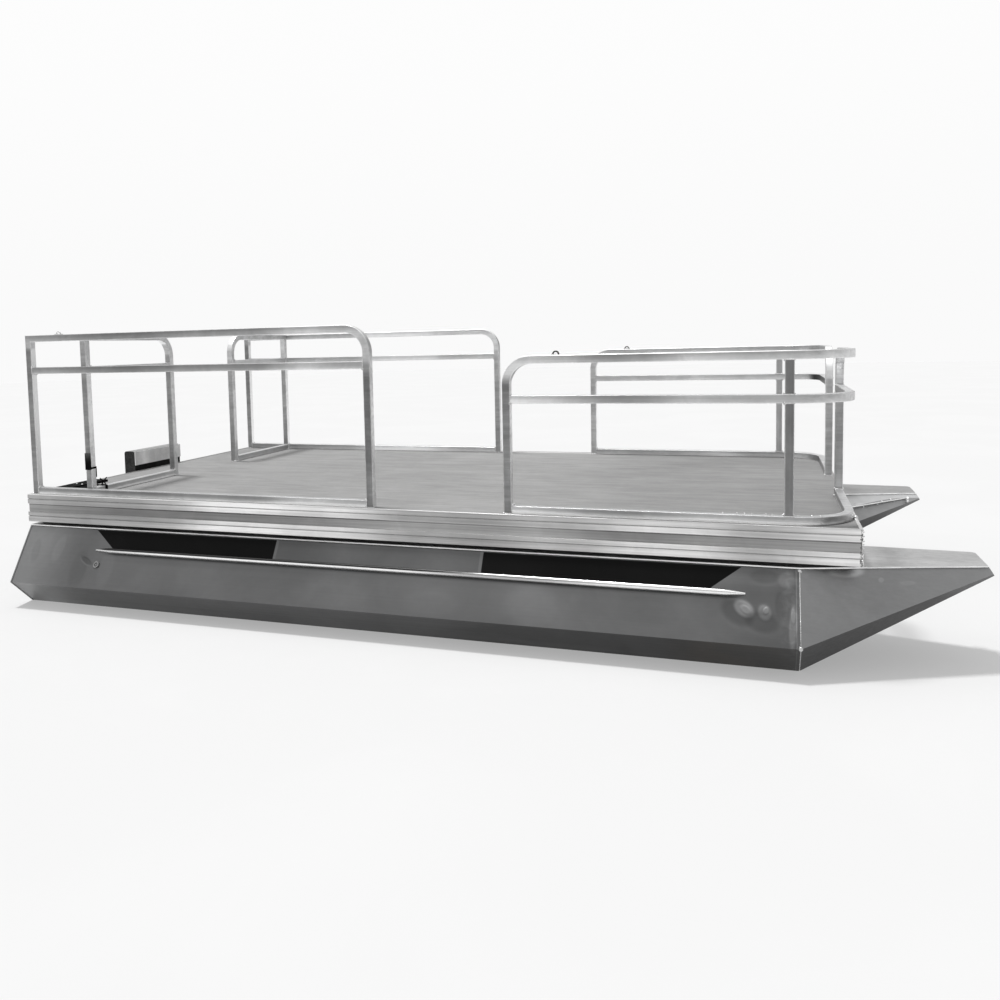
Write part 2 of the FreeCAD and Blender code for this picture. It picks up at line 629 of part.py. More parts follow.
# ---- small fittings ---------------------------------------------------------
def strap_eye():
    """A strap eye on a plate: a half ring standing along X over the origin."""
    plate = box((-STRAP_EYE_LENGTH / 2, STRAP_EYE_LENGTH / 2), (-STRAP_EYE_WIDTH / 2, STRAP_EYE_WIDTH / 2),
                (0, STRAP_EYE_PLATE))
    centre = V(0, 0, STRAP_EYE_PLATE)
    turns = [math.pi * (number + 0.5) / 4 for number in range(8)]
    wire = face([centre + V(STRAP_EYE_RING + STRAP_EYE_WIRE * math.cos(turn), STRAP_EYE_WIRE * math.sin(turn), 0)
                 for turn in turns])
    return joined([plate, wire.revolve(centre, V(0, -1, 0), 180)])


def small_fittings(parts):
    """Strap eyes on the top rails, the stern step pad and the post's rubber wrap."""
    eyes = []
    for x, height in ((STRAP_EYE_AFT_X, AFT_RAIL_HEIGHT), (STRAP_EYE_BOW_X, BOW_RAIL_HEIGHT)):
        for hand in SIDES.values():
            eyes.append(moved(strap_eye(), x, hand * RAIL_Y, FLOOR_TOP + height))
    parts["strap_eyes"] = Part.makeCompound(eyes)
    y = -HALF_DECK + STEP_PAD_Y
    aft = TRIM_FLANGE + STEP_PAD_CLEARANCE
    parts["stern_step_pad"] = box((aft, aft + STEP_PAD_LENGTH), (y, y + STEP_PAD_WIDTH),
                                  (FLOOR_TOP, FLOOR_TOP + STEP_PAD_THICK))
    parts["corner_post_wrap"] = post_pad(V(CROSSING_X, -RAIL_Y + TUBE, FLOOR_TOP))


def post_pad(foot):
    """A rubber pad on a post's starboard face, held by a strap with a loose end."""
    hole = TUBE / 2 + WRAP_CLEARANCE
    shell = hole + STRAP_THICK
    pad = box((-hole, hole), (-hole - WRAP_THICK, -hole), (WRAP_LOW, WRAP_HIGH))
    zs = (STRAP_LOW, STRAP_HIGH)
    strap = box((-shell, shell), (-shell, shell), zs).cut(box((-hole, hole), (-hole, hole), zs))
    tail = box((hole - STRAP_HIGH + STRAP_LOW, shell), (hole, shell), (STRAP_LOW - STRAP_TAIL, STRAP_HIGH))
    return moved(joined([pad, strap, tail]), foot.x, foot.y, foot.z)


# ---- whole boat -------------------------------------------------------------
def boat():
    """Every node's shape by name, with the origin under the middle of the boat's box."""
    parts = {}
    pontoons(parts)
    edge_trims(parts)
    deck(parts)
    aft_rails(parts)
    bow_rails(parts)
    motor_mount(parts)
    small_fittings(parts)
    return {name: moved(shape, x=-ORIGIN_X) for name, shape in parts.items()}


os.makedirs("parts", exist_ok=True)
for node, node_shape in boat().items():
    solids = node_shape.Solids
    if not solids or not all(solid.isValid() for solid in solids):
        raise ValueError(f"{node} is not a sound solid")
    node_shape.exportStep(f"parts/{node}.step")
    bounds = node_shape.BoundBox
    print(f"{node:28s} {len(solids):3d} solids  X {bounds.XMin:8.1f} {bounds.XMax:8.1f}"
          f"  Y {bounds.YMin:8.1f} {bounds.YMax:8.1f}  Z {bounds.ZMin:7.1f} {bounds.ZMax:7.1f}")
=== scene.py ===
"""Aluminium pontoon boat on a pale studio floor.

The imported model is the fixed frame. The classes below dress its pieces and add what is
too small for it: weld beads, spatter, screws, a rubber flap and a tie.
Lengths are in metres, +X to the bow, +Y to port, +Z up.
"""

import logging
import math
import random
from dataclasses import dataclass
from enum import Enum
from typing import ClassVar

import bmesh
import bpy
from mathutils import Matrix, Vector


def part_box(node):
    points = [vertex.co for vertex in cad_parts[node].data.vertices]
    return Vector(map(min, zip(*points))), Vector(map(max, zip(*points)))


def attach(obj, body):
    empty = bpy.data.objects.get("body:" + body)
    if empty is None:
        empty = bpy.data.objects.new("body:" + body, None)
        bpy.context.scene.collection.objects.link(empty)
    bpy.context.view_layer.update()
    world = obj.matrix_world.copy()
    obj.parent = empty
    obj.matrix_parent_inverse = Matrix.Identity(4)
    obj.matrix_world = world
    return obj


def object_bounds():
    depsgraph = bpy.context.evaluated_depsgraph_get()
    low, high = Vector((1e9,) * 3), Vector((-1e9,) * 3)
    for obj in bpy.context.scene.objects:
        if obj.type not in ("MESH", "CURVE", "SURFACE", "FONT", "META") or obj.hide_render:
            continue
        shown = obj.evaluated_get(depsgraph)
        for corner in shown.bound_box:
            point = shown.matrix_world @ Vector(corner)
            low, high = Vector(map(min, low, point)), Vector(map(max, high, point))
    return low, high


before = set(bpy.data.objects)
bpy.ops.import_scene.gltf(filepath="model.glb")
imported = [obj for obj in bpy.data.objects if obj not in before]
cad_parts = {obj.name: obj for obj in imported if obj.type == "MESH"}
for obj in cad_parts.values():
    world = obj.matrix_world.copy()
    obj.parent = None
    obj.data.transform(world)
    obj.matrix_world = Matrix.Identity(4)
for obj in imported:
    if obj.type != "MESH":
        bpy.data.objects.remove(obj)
CAD_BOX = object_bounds()
ROOT = "root"
LOG = logging.getLogger("pontoon_boat")
Socket = bpy.types.NodeSocket
Material = bpy.types.Material
BMesh = bmesh.types.BMesh
Value = float | Socket
Colour = tuple[float, float, float, float]
Pair = tuple[float, float]
Triple = tuple[float, float, float]
Stops = tuple[Pair, ...]
NOSE_SEAM = 1.447
PONTOON_MIDDLE = 0.8015
SQUARE_ON = (0.6, 0.9)
SPECULAR = "Specular IOR Level"
BLACK = (0.0, 0.0, 0.0, 1.0)


class Axis(Enum):
    """The way that a grain or a tube runs."""

    X = 0
    Y = 1
    Z = 2


class Side(Enum):
    """One side of the boat, with the sign of its Y."""

    STARBOARD = -1
    PORT = 1

    @property
    def word(self) -> str:
        """The side's name as nodes use it."""
        return self.name.lower()


# ---- node trees -------------------------------------------------------------
class Nodes:
    """Short calls that lay out a shader node tree."""

    def __init__(self, tree: bpy.types.NodeTree) -> None:
        """Take an empty tree.

        Args:
            tree: the tree to fill.
        """
        self.tree = tree

    def add(self, kind: str, **values: object) -> bpy.types.Node:
        """Add a node and set its properties or inputs.

        Args:
            kind: the node's type name, without "ShaderNode".
            values: properties, or input names, each with a plain value or another node's output.

        Returns:
            The new node.
        """
        node = self.tree.nodes.new(kind if kind.startswith("NodeGroup") else f"ShaderNode{kind}")
        for key, value in values.items():
            if hasattr(node, key):
                setattr(node, key, value)
            else:
                self.feed(value, node.inputs[key])
        return node

    def give(self, value: Socket) -> bpy.types.NodeTree:
        """Lead a number out of a group, and give the group back."""
        self.feed(value, self.add("NodeGroupOutput").inputs[0])
        return self.tree

    def feed(self, value: object, socket: Socket) -> None:
        """Put a plain value, or another node's output, into a socket.

        Args:
            value: the value or the output.
            socket: the input that takes it.
        """
        if isinstance(value, Socket):
            self.tree.links.new(value, socket)
        else:
            socket.default_value = value

    def math(self, operation: str, first: Value, second: Value = 0.0, clamp: bool = False) -> Socket:
        """Add a Math node.

        Args:
            operation: its operation.
            first: a number or an output.
            second: a number or an output.
            clamp: whether the result stays between 0 and 1.

        Returns:
            The result's output.
        """
        node = self.add("Math", operation=operation, use_clamp=clamp)
        self.feed(first, node.inputs[0])
        self.feed(second, node.inputs[1])
        return node.outputs[0]

    def vector(self, operation: str, *inputs: Socket) -> Socket:
        """Add a Vector Math node.

        Args:
            operation: its operation.
            inputs: the vectors that it takes.

        Returns:
            The result's output: a number for a length or a dot product, else a vector.
        """
        node = self.add("VectorMath", operation=operation)
        for source, socket in zip(inputs, node.inputs):
            self.feed(source, socket)
        return node.outputs[1 if operation in ("LENGTH", "DOT_PRODUCT") else 0]

    def normal(self) -> Socket:
        """The surface's normal, before any bump."""
        return self.add("NewGeometry").outputs["Normal"]

    def noise(self, place: Socket, scale: Value, detail: float, rough: float, twist: float = 0.0) -> Socket:
        """Add a noise texture.

        Args:
            place: the coordinates that it reads.
            scale: its scale.
            detail: how many finer layers it has.
            rough: how strong the finer layers are.
            twist: how far it is distorted.

        Returns:
            The noise's output.
        """
        return self.add("TexNoise", Vector=place, Scale=scale, Detail=detail, Roughness=rough,
                        Distortion=twist).outputs[0]

    def split(self, vector: Socket) -> tuple[Socket, ...]:
        """The X, Y and Z of a vector."""
        return tuple(self.add("SeparateXYZ", Vector=vector).outputs)

    def span(self, value: Value, low: float, high: float, soft: float) -> Socket:
        """A mask that is 1 between two values.

        Args:
            value: the value's output.
            low: where it rises.
            high: where it falls.
            soft: half the width of each edge.

        Returns:
            The mask's output.
        """
        rise = self.ramp(value, low - soft, low + soft)
        fall = self.ramp(value, high - soft, high + soft, 1.0, 0.0)
        return self.math("MULTIPLY", rise, fall)

    def product(self, *factors: Value) -> Value:
        """Several factors multiplied together.

        Args:
            factors: numbers or outputs.

        Returns:
            The product's output.
        """
        result = factors[0]
        for factor in factors[1:]:
            result = self.math("MULTIPLY", result, factor)
        return result

    def average(self, first: Value, second: Value) -> Socket:
        """Halfway between two numbers."""
        return self.math("MULTIPLY", self.math("ADD", first, second), 0.5)

    def fade(self, mask: Value, none: float, full: float) -> Socket:
        """A factor that goes smoothly from one number to another as a mask rises."""
        return self.ramp(mask, 0.0, 1.0, none, full)

    def shade(self, tone: Value, *layers: tuple[Value, float, float]) -> Value:
        """Multiply a tone by several masks.

        Args:
            tone: the brightness.
            layers: each a mask, its factor at 0 and its factor at 1.

        Returns:
            The shaded tone's output.
        """
        return self.product(tone, *(self.fade(*layer) for layer in layers))

    def lerp(self, factor: Value, first: Value, second: Value) -> Socket:
        """Blend two numbers by a factor.

        Args:
            factor: a number or an output.
            first: the number at 0.
            second: the number at 1.

        Returns:
            The blended number's output.
        """
        node = self.add("Mix", data_type="FLOAT")
        for value, number in ((factor, 0), (first, 2), (second, 3)):
            self.feed(value, node.inputs[number])
        return node.outputs[0]

    def curve(self, value: Value, stops: Stops) -> Socket:
        """A number that follows a few stops, and stays as it is past the first and the last.

        Args:
            value: the value's output.
            stops: pairs of place, in the value's own unit, and number.

        Returns:
            The number's output.
        """
        low, high = stops[0][0], stops[-1][0]
        place = self.math("DIVIDE", self.math("SUBTRACT", value, low), high - low, clamp=True)
        peak = max(1.0, *(tone for _, tone in stops))
        node = self.add("ValToRGB", Fac=place)
        line = node.color_ramp
        line.interpolation = "CARDINAL"
        for number, (where, tone) in enumerate(stops):
            share = (where - low) / (high - low)
            point = line.elements[number] if number < 2 else line.elements.new(share)
            point.position = share
            point.color = (tone / peak, tone / peak, tone / peak, 1.0)
        return self.math("MULTIPLY", node.outputs[0], peak)

    def mix(self, factor: Value, first: Colour | Socket, second: Colour | Socket) -> Socket:
        """Mix two colours by a factor.

        Args:
            factor: a number or an output.
            first: the colour at 0.
            second: the colour at 1.

        Returns:
            The mixed colour's output.
        """
        node = self.add("Mix", data_type="RGBA")
        for value, number in ((factor, 0), (first, 6), (second, 7)):
            self.feed(value, node.inputs[number])
        return node.outputs[2]

    def ramp(self, value: Value, low: Value, high: Value, out_low: float = 0.0,
             out_high: float = 1.0) -> Socket:
        """Map a range of values smoothly to another.

        Args:
            value: the value's output.
            low: where the result is out_low.
            high: where the result is out_high.
            out_low: the result at low.
            out_high: the result at high.

        Returns:
            The mapped value's output.
        """
        node = self.add("MapRange", interpolation_type="SMOOTHSTEP")
        for one, socket in zip((value, low, high, out_low, out_high), node.inputs):
            self.feed(one, socket)
        return node.outputs[0]


def grey(value: float, warm: float = 0.0) -> Colour:
    """A linear grey, a little warm or cool.

    Args:
        value: its brightness.
        warm: red minus blue, as a share.

    Returns:
        Red, green, blue and alpha.
    """
    return (value * (1 + warm / 2), value, value * (1 - warm / 2), 1.0)


def new_group(name: str, **inputs: float | Triple) -> tuple[Nodes, bpy.types.bpy_prop_collection]:
    """Start a shader node group that reads a place and gives one number.

    Args:
        name: the group's name.
        inputs: its other inputs, with their defaults.

    Returns:
        The group's nodes, and the outputs that its inputs come from.
    """
    tree = bpy.data.node_groups.new(name, "ShaderNodeTree")
    tree.interface.new_socket("Vector", in_out="INPUT", socket_type="NodeSocketVector")
    for label, default in inputs.items():
        kind = "NodeSocketFloat" if isinstance(default, float) else "NodeSocketVector"
        tree.interface.new_socket(label, in_out="INPUT", socket_type=kind).default_value = default
    tree.interface.new_socket("Mask", in_out="OUTPUT", socket_type="NodeSocketFloat")
    nodes = Nodes(tree)
    return nodes, nodes.add("NodeGroupInput").outputs


def grain_group() -> bpy.types.NodeTree:
    """Fine streaks drawn out one way, as mill rolls and dies leave on sheet and extrusion.

    Returns:
        The group.
    """
    nodes, source = new_group("drawn_grain", Stretch=(2.0, 240.0, 240.0))
    scaled = nodes.vector("MULTIPLY", source["Vector"], source["Stretch"])
    coarse, fine = nodes.noise(scaled, 0.35, 2.0, 0.6), nodes.noise(scaled, 1.6, 3.0, 0.65)
    both = nodes.math("ADD", nodes.product(coarse, 0.55), nodes.product(fine, 0.45))
    return nodes.give(nodes.ramp(both, 0.32, 0.68))


def cloud_group() -> bpy.types.NodeTree:
    """Broad soft patches: hand marks, water stains and uneven polish.

    Returns:
        The group.
    """
    nodes, source = new_group("soft_clouds", Scale=3.0, Low=0.35, High=0.7)
    noise = nodes.noise(source["Vector"], source["Scale"], 4.0, 0.55, 0.6)
    return nodes.give(nodes.ramp(noise, source["Low"], source["High"]))


def lobe_group() -> bpy.types.NodeTree:
    """A soft oval patch on a pontoon's side, for a dent and the light or shade painted on it.

    Returns:
        The group.
    """
    nodes, source = new_group("soft_lobe", Centre=(0.0, 0.0, 0.0), Radii=(0.05, 10.0, 0.05), Turn=0.0)
    away = nodes.vector("SUBTRACT", source["Vector"], source["Centre"])
    turned = nodes.add("VectorRotate", rotation_type="Y_AXIS", Vector=away, Angle=source["Turn"])
    length = nodes.vector("LENGTH", nodes.vector("DIVIDE", turned.outputs[0], source["Radii"]))
    inside = nodes.math("SUBTRACT", 1.0, nodes.product(length, length), clamp=True)
    return nodes.give(nodes.ramp(nodes.product(inside, inside), 0.0, 0.7))


def edge_group() -> bpy.types.NodeTree:
    """Rounded edges, rubbed and with a painted highlight: a mask from how far a rounding turns the normal.

    Returns:
        The group.
    """
    nodes, source = new_group("rubbed_edge_highlight", Radius=0.0012)
    rounded = nodes.add("Bevel", samples=4, Radius=source["Radius"]).outputs[0]
    edge = nodes.ramp(nodes.vector("DOT_PRODUCT", rounded, nodes.normal()), 0.80, 0.985, 1.0, 0.0)
    wear_and_highlight = nodes.ramp(nodes.noise(source["Vector"], 38.0, 3.0, 0.6), 0.30, 0.62, 0.55, 1.0)
    return nodes.give(nodes.product(edge, wear_and_highlight))


class Shop:
    """The shared node groups, built once."""

    grain: bpy.types.NodeTree = grain_group()
    clouds: bpy.types.NodeTree = cloud_group()
    lobe: bpy.types.NodeTree = lobe_group()
    edge: bpy.types.NodeTree = edge_group()


# ---- finishes ---------------------------------------------------------------
GRAIN_STRETCH = {Axis.X: (1.6, 260.0, 260.0), Axis.Y: (260.0, 1.6, 260.0), Axis.Z: (260.0, 260.0, 1.6)}
STREAK_STRETCH = {Axis.X: (0.5, 34.0, 34.0), Axis.Y: (34.0, 0.5, 34.0), Axis.Z: (34.0, 34.0, 0.5)}


class Coat:
    """A material under way: its nodes, its shader and the coordinates it reads."""

    def __init__(self, name: str, metallic: float) -> None:
        """Start the material.

        Args:
            name: the material's name.
            metallic: 1 for bare metal, 0 for paint, rubber and wood.
        """
        self.material = bpy.data.materials.new(name)
        self.material.use_nodes = True
        self.nodes = Nodes(self.material.node_tree)
        self.shader = self.material.node_tree.nodes["Principled BSDF"]
        self.set("Metallic", metallic)
        self.place = self.nodes.add("TexCoord").outputs["Object"]
        self.x, self.y, self.z = self.nodes.split(self.place)

    def set(self, socket: str, value: object) -> None:
        """Feed one of the shader's inputs."""
        self.nodes.feed(value, self.shader.inputs[socket])

    def group(self, tree: bpy.types.NodeTree, **values: object) -> Socket:
        """Place a shared group and set its inputs.

        Args:
            tree: the group.
            values: its inputs.

        Returns:
            Its mask's output.
        """
        return self.nodes.add("Group", node_tree=tree, Vector=self.place, **values).outputs[0]

    def facing(self) -> tuple[Socket, ...]:
        """How far the surface faces along X, Y and Z, from 0 to 1, whichever way."""
        return tuple(self.nodes.math("ABSOLUTE", part) for part in self.nodes.split(self.nodes.normal()))

    def outward(self, side: Side) -> Socket:
        """Distance from the boat's middle, counted out to one side."""
        return self.nodes.math("MULTIPLY", self.y, float(side.value))

    def clouds(self, scale: float, low: float = 0.35, high: float = 0.7) -> Socket:
        """Soft patches at a scale."""
        return self.group(Shop.clouds, Scale=scale, Low=low, High=high)

    def grain(self, stretch: Triple) -> Socket:
        """Streaks drawn out one way."""
        return self.group(Shop.grain, Stretch=stretch)

    def wave(self, scale: float) -> Socket:
        """The slow waves of bent sheet."""
        return self.nodes.noise(self.place, scale, 1.0, 0.4)

    def edge(self, radius: float) -> Socket:
        """The rubbed edges, where most finishes paint a highlight."""
        return self.group(Shop.edge, Radius=radius)

    def lobe(self, centre: Pair, radii: Pair, turn: float = 0.0) -> Socket:
        """An oval patch at a place along X and Z, whatever its Y, turned in that plane."""
        return self.group(Shop.lobe, Centre=(centre[0], 0.0, centre[1]), Radii=(radii[0], 40.0, radii[1]),
                          Turn=math.radians(turn))

    def beside(self, centre: Pair) -> Socket:
        """Distance from a line across the boat.

        Args:
            centre: the line's place along X and Z.

        Returns:
            The distance's output.
        """
        along = self.nodes.math("SUBTRACT", self.x, centre[0])
        high = self.nodes.math("SUBTRACT", self.z, centre[1])
        squares = self.nodes.math("ADD", self.nodes.product(along, along), self.nodes.product(high, high))
        return self.nodes.math("SQRT", squares)

    def tinted(self, tone: Value, warm: float) -> Socket:
        """A brightness as a colour, with a share of red minus blue."""
        return self.nodes.mix(tone, BLACK, grey(1.0, warm))

    def paint(self, tone: Value, warm: float = 0.0) -> None:
        """Use a brightness as the base colour, with a share of red minus blue."""
        self.set("Base Color", self.tinted(tone, warm))

    def relief(self, *layers: tuple[Socket, float], rounding: float = 0.0,
               tilt: Socket | None = None) -> None:
        """Stack bumps, the broadest first.

        Args:
            layers: pairs of height mask and depth in metres.
            rounding: the radius that the sharp corners are shaded with.
            tilt: how far the shading leans to the pale floor, or none.
        """
        nodes, before = self.nodes, None
        if rounding:
            before = nodes.add("Bevel", samples=6, Radius=rounding).outputs[0]
        if tilt is not None:
            start = nodes.normal() if before is None else before
            down = nodes.add("CombineXYZ", Z=tilt).outputs[0]
            before = nodes.vector("NORMALIZE", nodes.vector("SUBTRACT", start, down))
        for height, depth in layers:
            bump = nodes.add("Bump", Distance=depth, Strength=1.0, Height=height)
            if before is not None:
                nodes.feed(before, bump.inputs["Normal"])
            before = bump.outputs["Normal"]
        self.set("Normal", before)

    def rough(self, mask: Socket, low: float, high: float) -> None:
        """Roughness that runs from high to low as the mask rises."""
        self.set("Roughness", self.nodes.fade(mask, high, low))

@dataclass(frozen=True)
class Finish:
    """A named finish. Each kind of finish lays its coat in its own way."""

    name: str
    metallic: ClassVar[float] = 1.0

    def material(self) -> Material:
        """Build the finish.

        Returns:
            The material.
        """
        coat = Coat(self.name, self.metallic)
        self.lay(coat)
        return coat.material

    def lay(self, coat: Coat) -> None:
        """Lay colour, roughness and relief on the coat; each kind has its own."""
        raise NotImplementedError


@dataclass(frozen=True)
class Dent:
    """A soft dent or patch on a pontoon's side: place, size and turn along X and Z, and its painted light."""

    x: float
    z: float
    long: float
    high: float
    light: float
    turn: float = 0.0


# A dent's light is painted: above 0 a highlight, below 0 shade. The last patch lightens the trim's dark
# reflection on the nose.
DENTS = (
    Dent(1.240, 0.214, 0.090, 0.055, -0.24, -25.0), Dent(1.322, 0.190, 0.085, 0.050, -0.20, -8.0),
    Dent(1.262, 0.230, 0.054, 0.036, 1.15, -28.0), Dent(1.331, 0.222, 0.033, 0.037, 0.66, 24.0),
    Dent(1.268, 0.227, 0.030, 0.018, 0.16, -28.0), Dent(1.336, 0.228, 0.014, 0.018, 0.14, -30.0),
    Dent(1.424, 0.185, 0.020, 0.100, 0.58, -4.0),
    Dent(1.424, 0.218, 0.013, 0.036, 0.25, 0.0), Dent(1.330, 0.332, 0.075, 0.036, -0.14),
    Dent(1.405, 0.325, 0.045, 0.040, 0.26), Dent(1.385, 0.245, 0.028, 0.070, -0.12),
    Dent(-1.800, 0.270, 0.045, 0.090, 0.10, -8.0), Dent(-1.930, 0.255, 0.035, 0.080, -0.08, 8.0),
    Dent(-1.650, 0.190, 0.070, 0.130, -0.10), Dent(-1.618, 0.230, 0.058, 0.017, -0.22, -22.0),
    Dent(-1.500, 0.200, 0.060, 0.120, 0.08),
    Dent(-1.180, 0.180, 0.220, 0.080, 0.06), Dent(-0.350, 0.170, 0.260, 0.070, 0.06),
    Dent(0.090, 0.165, 0.180, 0.070, 0.06), Dent(0.500, 0.185, 0.160, 0.100, 0.08),
    Dent(0.930, 0.200, 0.180, 0.075, -0.06), Dent(1.714, 0.328, 0.014, 0.012, 0.22),
    Dent(1.800, 0.318, 0.040, 0.010, 0.12), Dent(1.600, 0.356, 0.090, 0.030, 0.70),
)


@dataclass(frozen=True)
class HullSheet(Finish):
    """Dull bent sheet of a pontoon. If banded, its outer side has a black band with a bare panel in it."""

    side: Side
    banded: bool = True
    tone: float = 0.227
    side_top: float = 0.365
    chine: float = 0.121
    specular: float = 0.08
    dent_depth: float = 0.006
    most_press: float = 0.15
    band: Pair = (0.020, 0.335)
    band_aft: Pair = (-1.612, -1.488)
    band_bow: Pair = (1.252, 1.140)
    panel: Pair = (-0.655, 0.280)
    # Painted light along the sheet, from stern to bow.
    run: Stops = (
        (-2.01, 1.42), (-1.90, 1.31), (-1.72, 0.82), (-1.50, 0.83), (-1.30, 0.76), (-1.10, 0.66),
        (-0.90, 0.72), (-0.70, 0.65), (-0.50, 0.64), (-0.30, 0.75), (-0.10, 0.67), (0.10, 0.68),
        (0.30, 0.60), (0.50, 0.68), (0.70, 0.61), (0.90, 0.57), (1.10, 0.62), (1.30, 0.50), (1.44, 0.48),
        (2.08, 0.48))
    # The chine bevel's tone from stern to bow is painted shade, as the bevel faces the shaded floor.
    bevel: Stops = (
        (-2.01, 0.74), (-1.93, 0.90), (-1.88, 1.04), (-1.72, 0.92), (-1.50, 0.66), (-1.10, 0.75),
        (-0.70, 0.80), (-0.30, 0.80), (0.10, 0.69), (0.50, 0.54), (0.90, 0.56), (1.10, 0.49), (1.44, 0.79),
        (2.08, 0.79))
    bar_level: float = 0.276
    bar_ends: Pair = (-1.50, 1.20)
    seam: float = 1.435
    heat_start: float = 1.385
    rust: Pair = (1.05, 1.43)
    panel_low: Pair = (0.284, 0.286)
    panel_border: float = 0.013

    def lay(self, coat: Coat) -> None:
        """Lay colour, roughness and relief on the coat.

        Args:
            coat: the material under way.
        """
        coat.set(SPECULAR, self.specular)
        nodes = coat.nodes
        clouds, fine = coat.clouds(2.4), coat.clouds(24.0, 0.3, 0.75)
        grain, streaks = coat.grain(GRAIN_STRETCH[Axis.X]), coat.grain(STREAK_STRETCH[Axis.X])
        tone = nodes.shade(nodes.product(self.tone, self.along(coat)), (clouds, 0.94, 1.06),
                           (fine, 0.985, 1.015), (grain, 0.985, 1.015), (streaks, 0.993, 1.007))
        height = 0.0
        for dent in DENTS:
            mask = coat.lobe((dent.x, dent.z), (dent.long, dent.high), dent.turn)
            tone = nodes.shade(tone, (mask, 1.0, 1.0 + dent.light))
            press = max(-self.most_press, min(self.most_press, dent.light))
            height = nodes.math("ADD", height, nodes.product(mask, press))
        # The chine bevel is painted darker as shade; rust lies on it near the seam.
        bevel = nodes.ramp(coat.z, self.chine - 0.0025, self.chine + 0.0015, 1.0, 0.0)
        tone = nodes.lerp(bevel, tone, nodes.product(tone, nodes.curve(coat.x, self.bevel)))
        # A painted highlight on the sheet's edges.
        tone = nodes.math("ADD", tone, nodes.product(coat.edge(0.0015), 0.10))
        rust = nodes.product(bevel, nodes.span(coat.x, *self.rust, 0.10),
                             nodes.ramp(clouds, 0.2, 0.8, 0.3, 1.0))
        colour = nodes.mix(rust, coat.tinted(tone, -0.012), coat.tinted(tone, 0.16))
        mask = nodes.average(grain, clouds)
        if self.banded:
            band = self.band_mask(coat)
            colour = nodes.mix(band, colour, nodes.mix(clouds, grey(0.0025), grey(0.0050)))
            coat.set("Metallic", nodes.math("SUBTRACT", 1.0, band))
            mask = nodes.lerp(band, mask, 0.75)
        coat.set("Base Color", colour)
        coat.rough(mask, 0.40, 0.48)
        coat.relief((coat.wave(2.3), 0.016), (height, self.dent_depth), (grain, 0.00002))

    def along(self, coat: Coat) -> Socket:
        """How the sheet's light changes from stern to bow, below the rub bar, on the panel and at the seam.

        Args:
            coat: the material under way.

        Returns:
            The light's output.
        """
        nodes, bar = coat.nodes, self.bar_level
        aft, bow = self.bar_ends
        start, end = self.panel
        top = nodes.product(nodes.ramp(coat.z, 0.26, 0.34), nodes.ramp(coat.x, 0.9, 1.2),
                            nodes.ramp(coat.x, 1.40, 1.46, 1.0, 0.0))
        heat = nodes.product(nodes.span(coat.x, self.heat_start, NOSE_SEAM, 0.020),
                             coat.clouds(30.0, 0.42, 0.62))
        # Painted shade below the rub bar, with a darker painted shadow line just under it.
        shade = nodes.product(nodes.span(coat.z, bar - 0.040, bar, 0.016), nodes.span(coat.x, aft, bow, 0.08))
        foot = nodes.product(nodes.span(coat.z, bar - 0.016, bar - 0.006, 0.0030),
                             nodes.span(coat.x, aft, bow + 0.04, 0.05))
        bare = nodes.product(nodes.span(coat.x, start, end, 0.001), nodes.ramp(coat.z, *self.panel_low))
        strip = nodes.ramp(coat.x, self.seam - 0.0005, self.seam + 0.0005)
        line = nodes.span(coat.x, self.seam - 0.0015, self.seam + 0.0010, 0.0008)
        field = nodes.span(coat.x, start + self.panel_border, end - self.panel_border, 0.002)
        border = nodes.product(bare, nodes.math("SUBTRACT", 1.0, field))
        light = nodes.curve(coat.x, self.run)
        for mask, full in ((top, 1.30), (heat, 1.16), (shade, 0.93), (foot, 0.50), (bare, 0.84),
                           (strip, 1.16), (line, 1.60), (border, 1.30)):
            light = nodes.shade(light, (mask, 1.0, full))
        return light

    def band_mask(self, coat: Coat) -> Socket:
        """The black band: between two levels, with slanted ends and a bare panel in it.

        Args:
            coat: the material under way.

        Returns:
            The mask's output.
        """
        nodes = coat.nodes
        low, high = self.band
        below = nodes.math("SUBTRACT", self.side_top, coat.z)
        share = nodes.math("DIVIDE", below, self.side_top - self.chine)
        level = nodes.span(share, low, high, 0.004)
        run = nodes.math("DIVIDE", nodes.math("SUBTRACT", share, low), high - low)
        aft = nodes.math("SUBTRACT", coat.x, nodes.lerp(run, *self.band_aft))
        bow = nodes.math("SUBTRACT", nodes.lerp(run, *self.band_bow), coat.x)
        inside = nodes.product(nodes.ramp(aft, -0.002, 0.002), nodes.ramp(bow, -0.002, 0.002))
        bare = nodes.span(coat.x, *self.panel, 0.0015)
        outer = nodes.ramp(coat.outward(self.side), PONTOON_MIDDLE, PONTOON_MIDDLE + 0.01)
        return nodes.product(level, inside, nodes.math("SUBTRACT", 1.0, bare), outer)


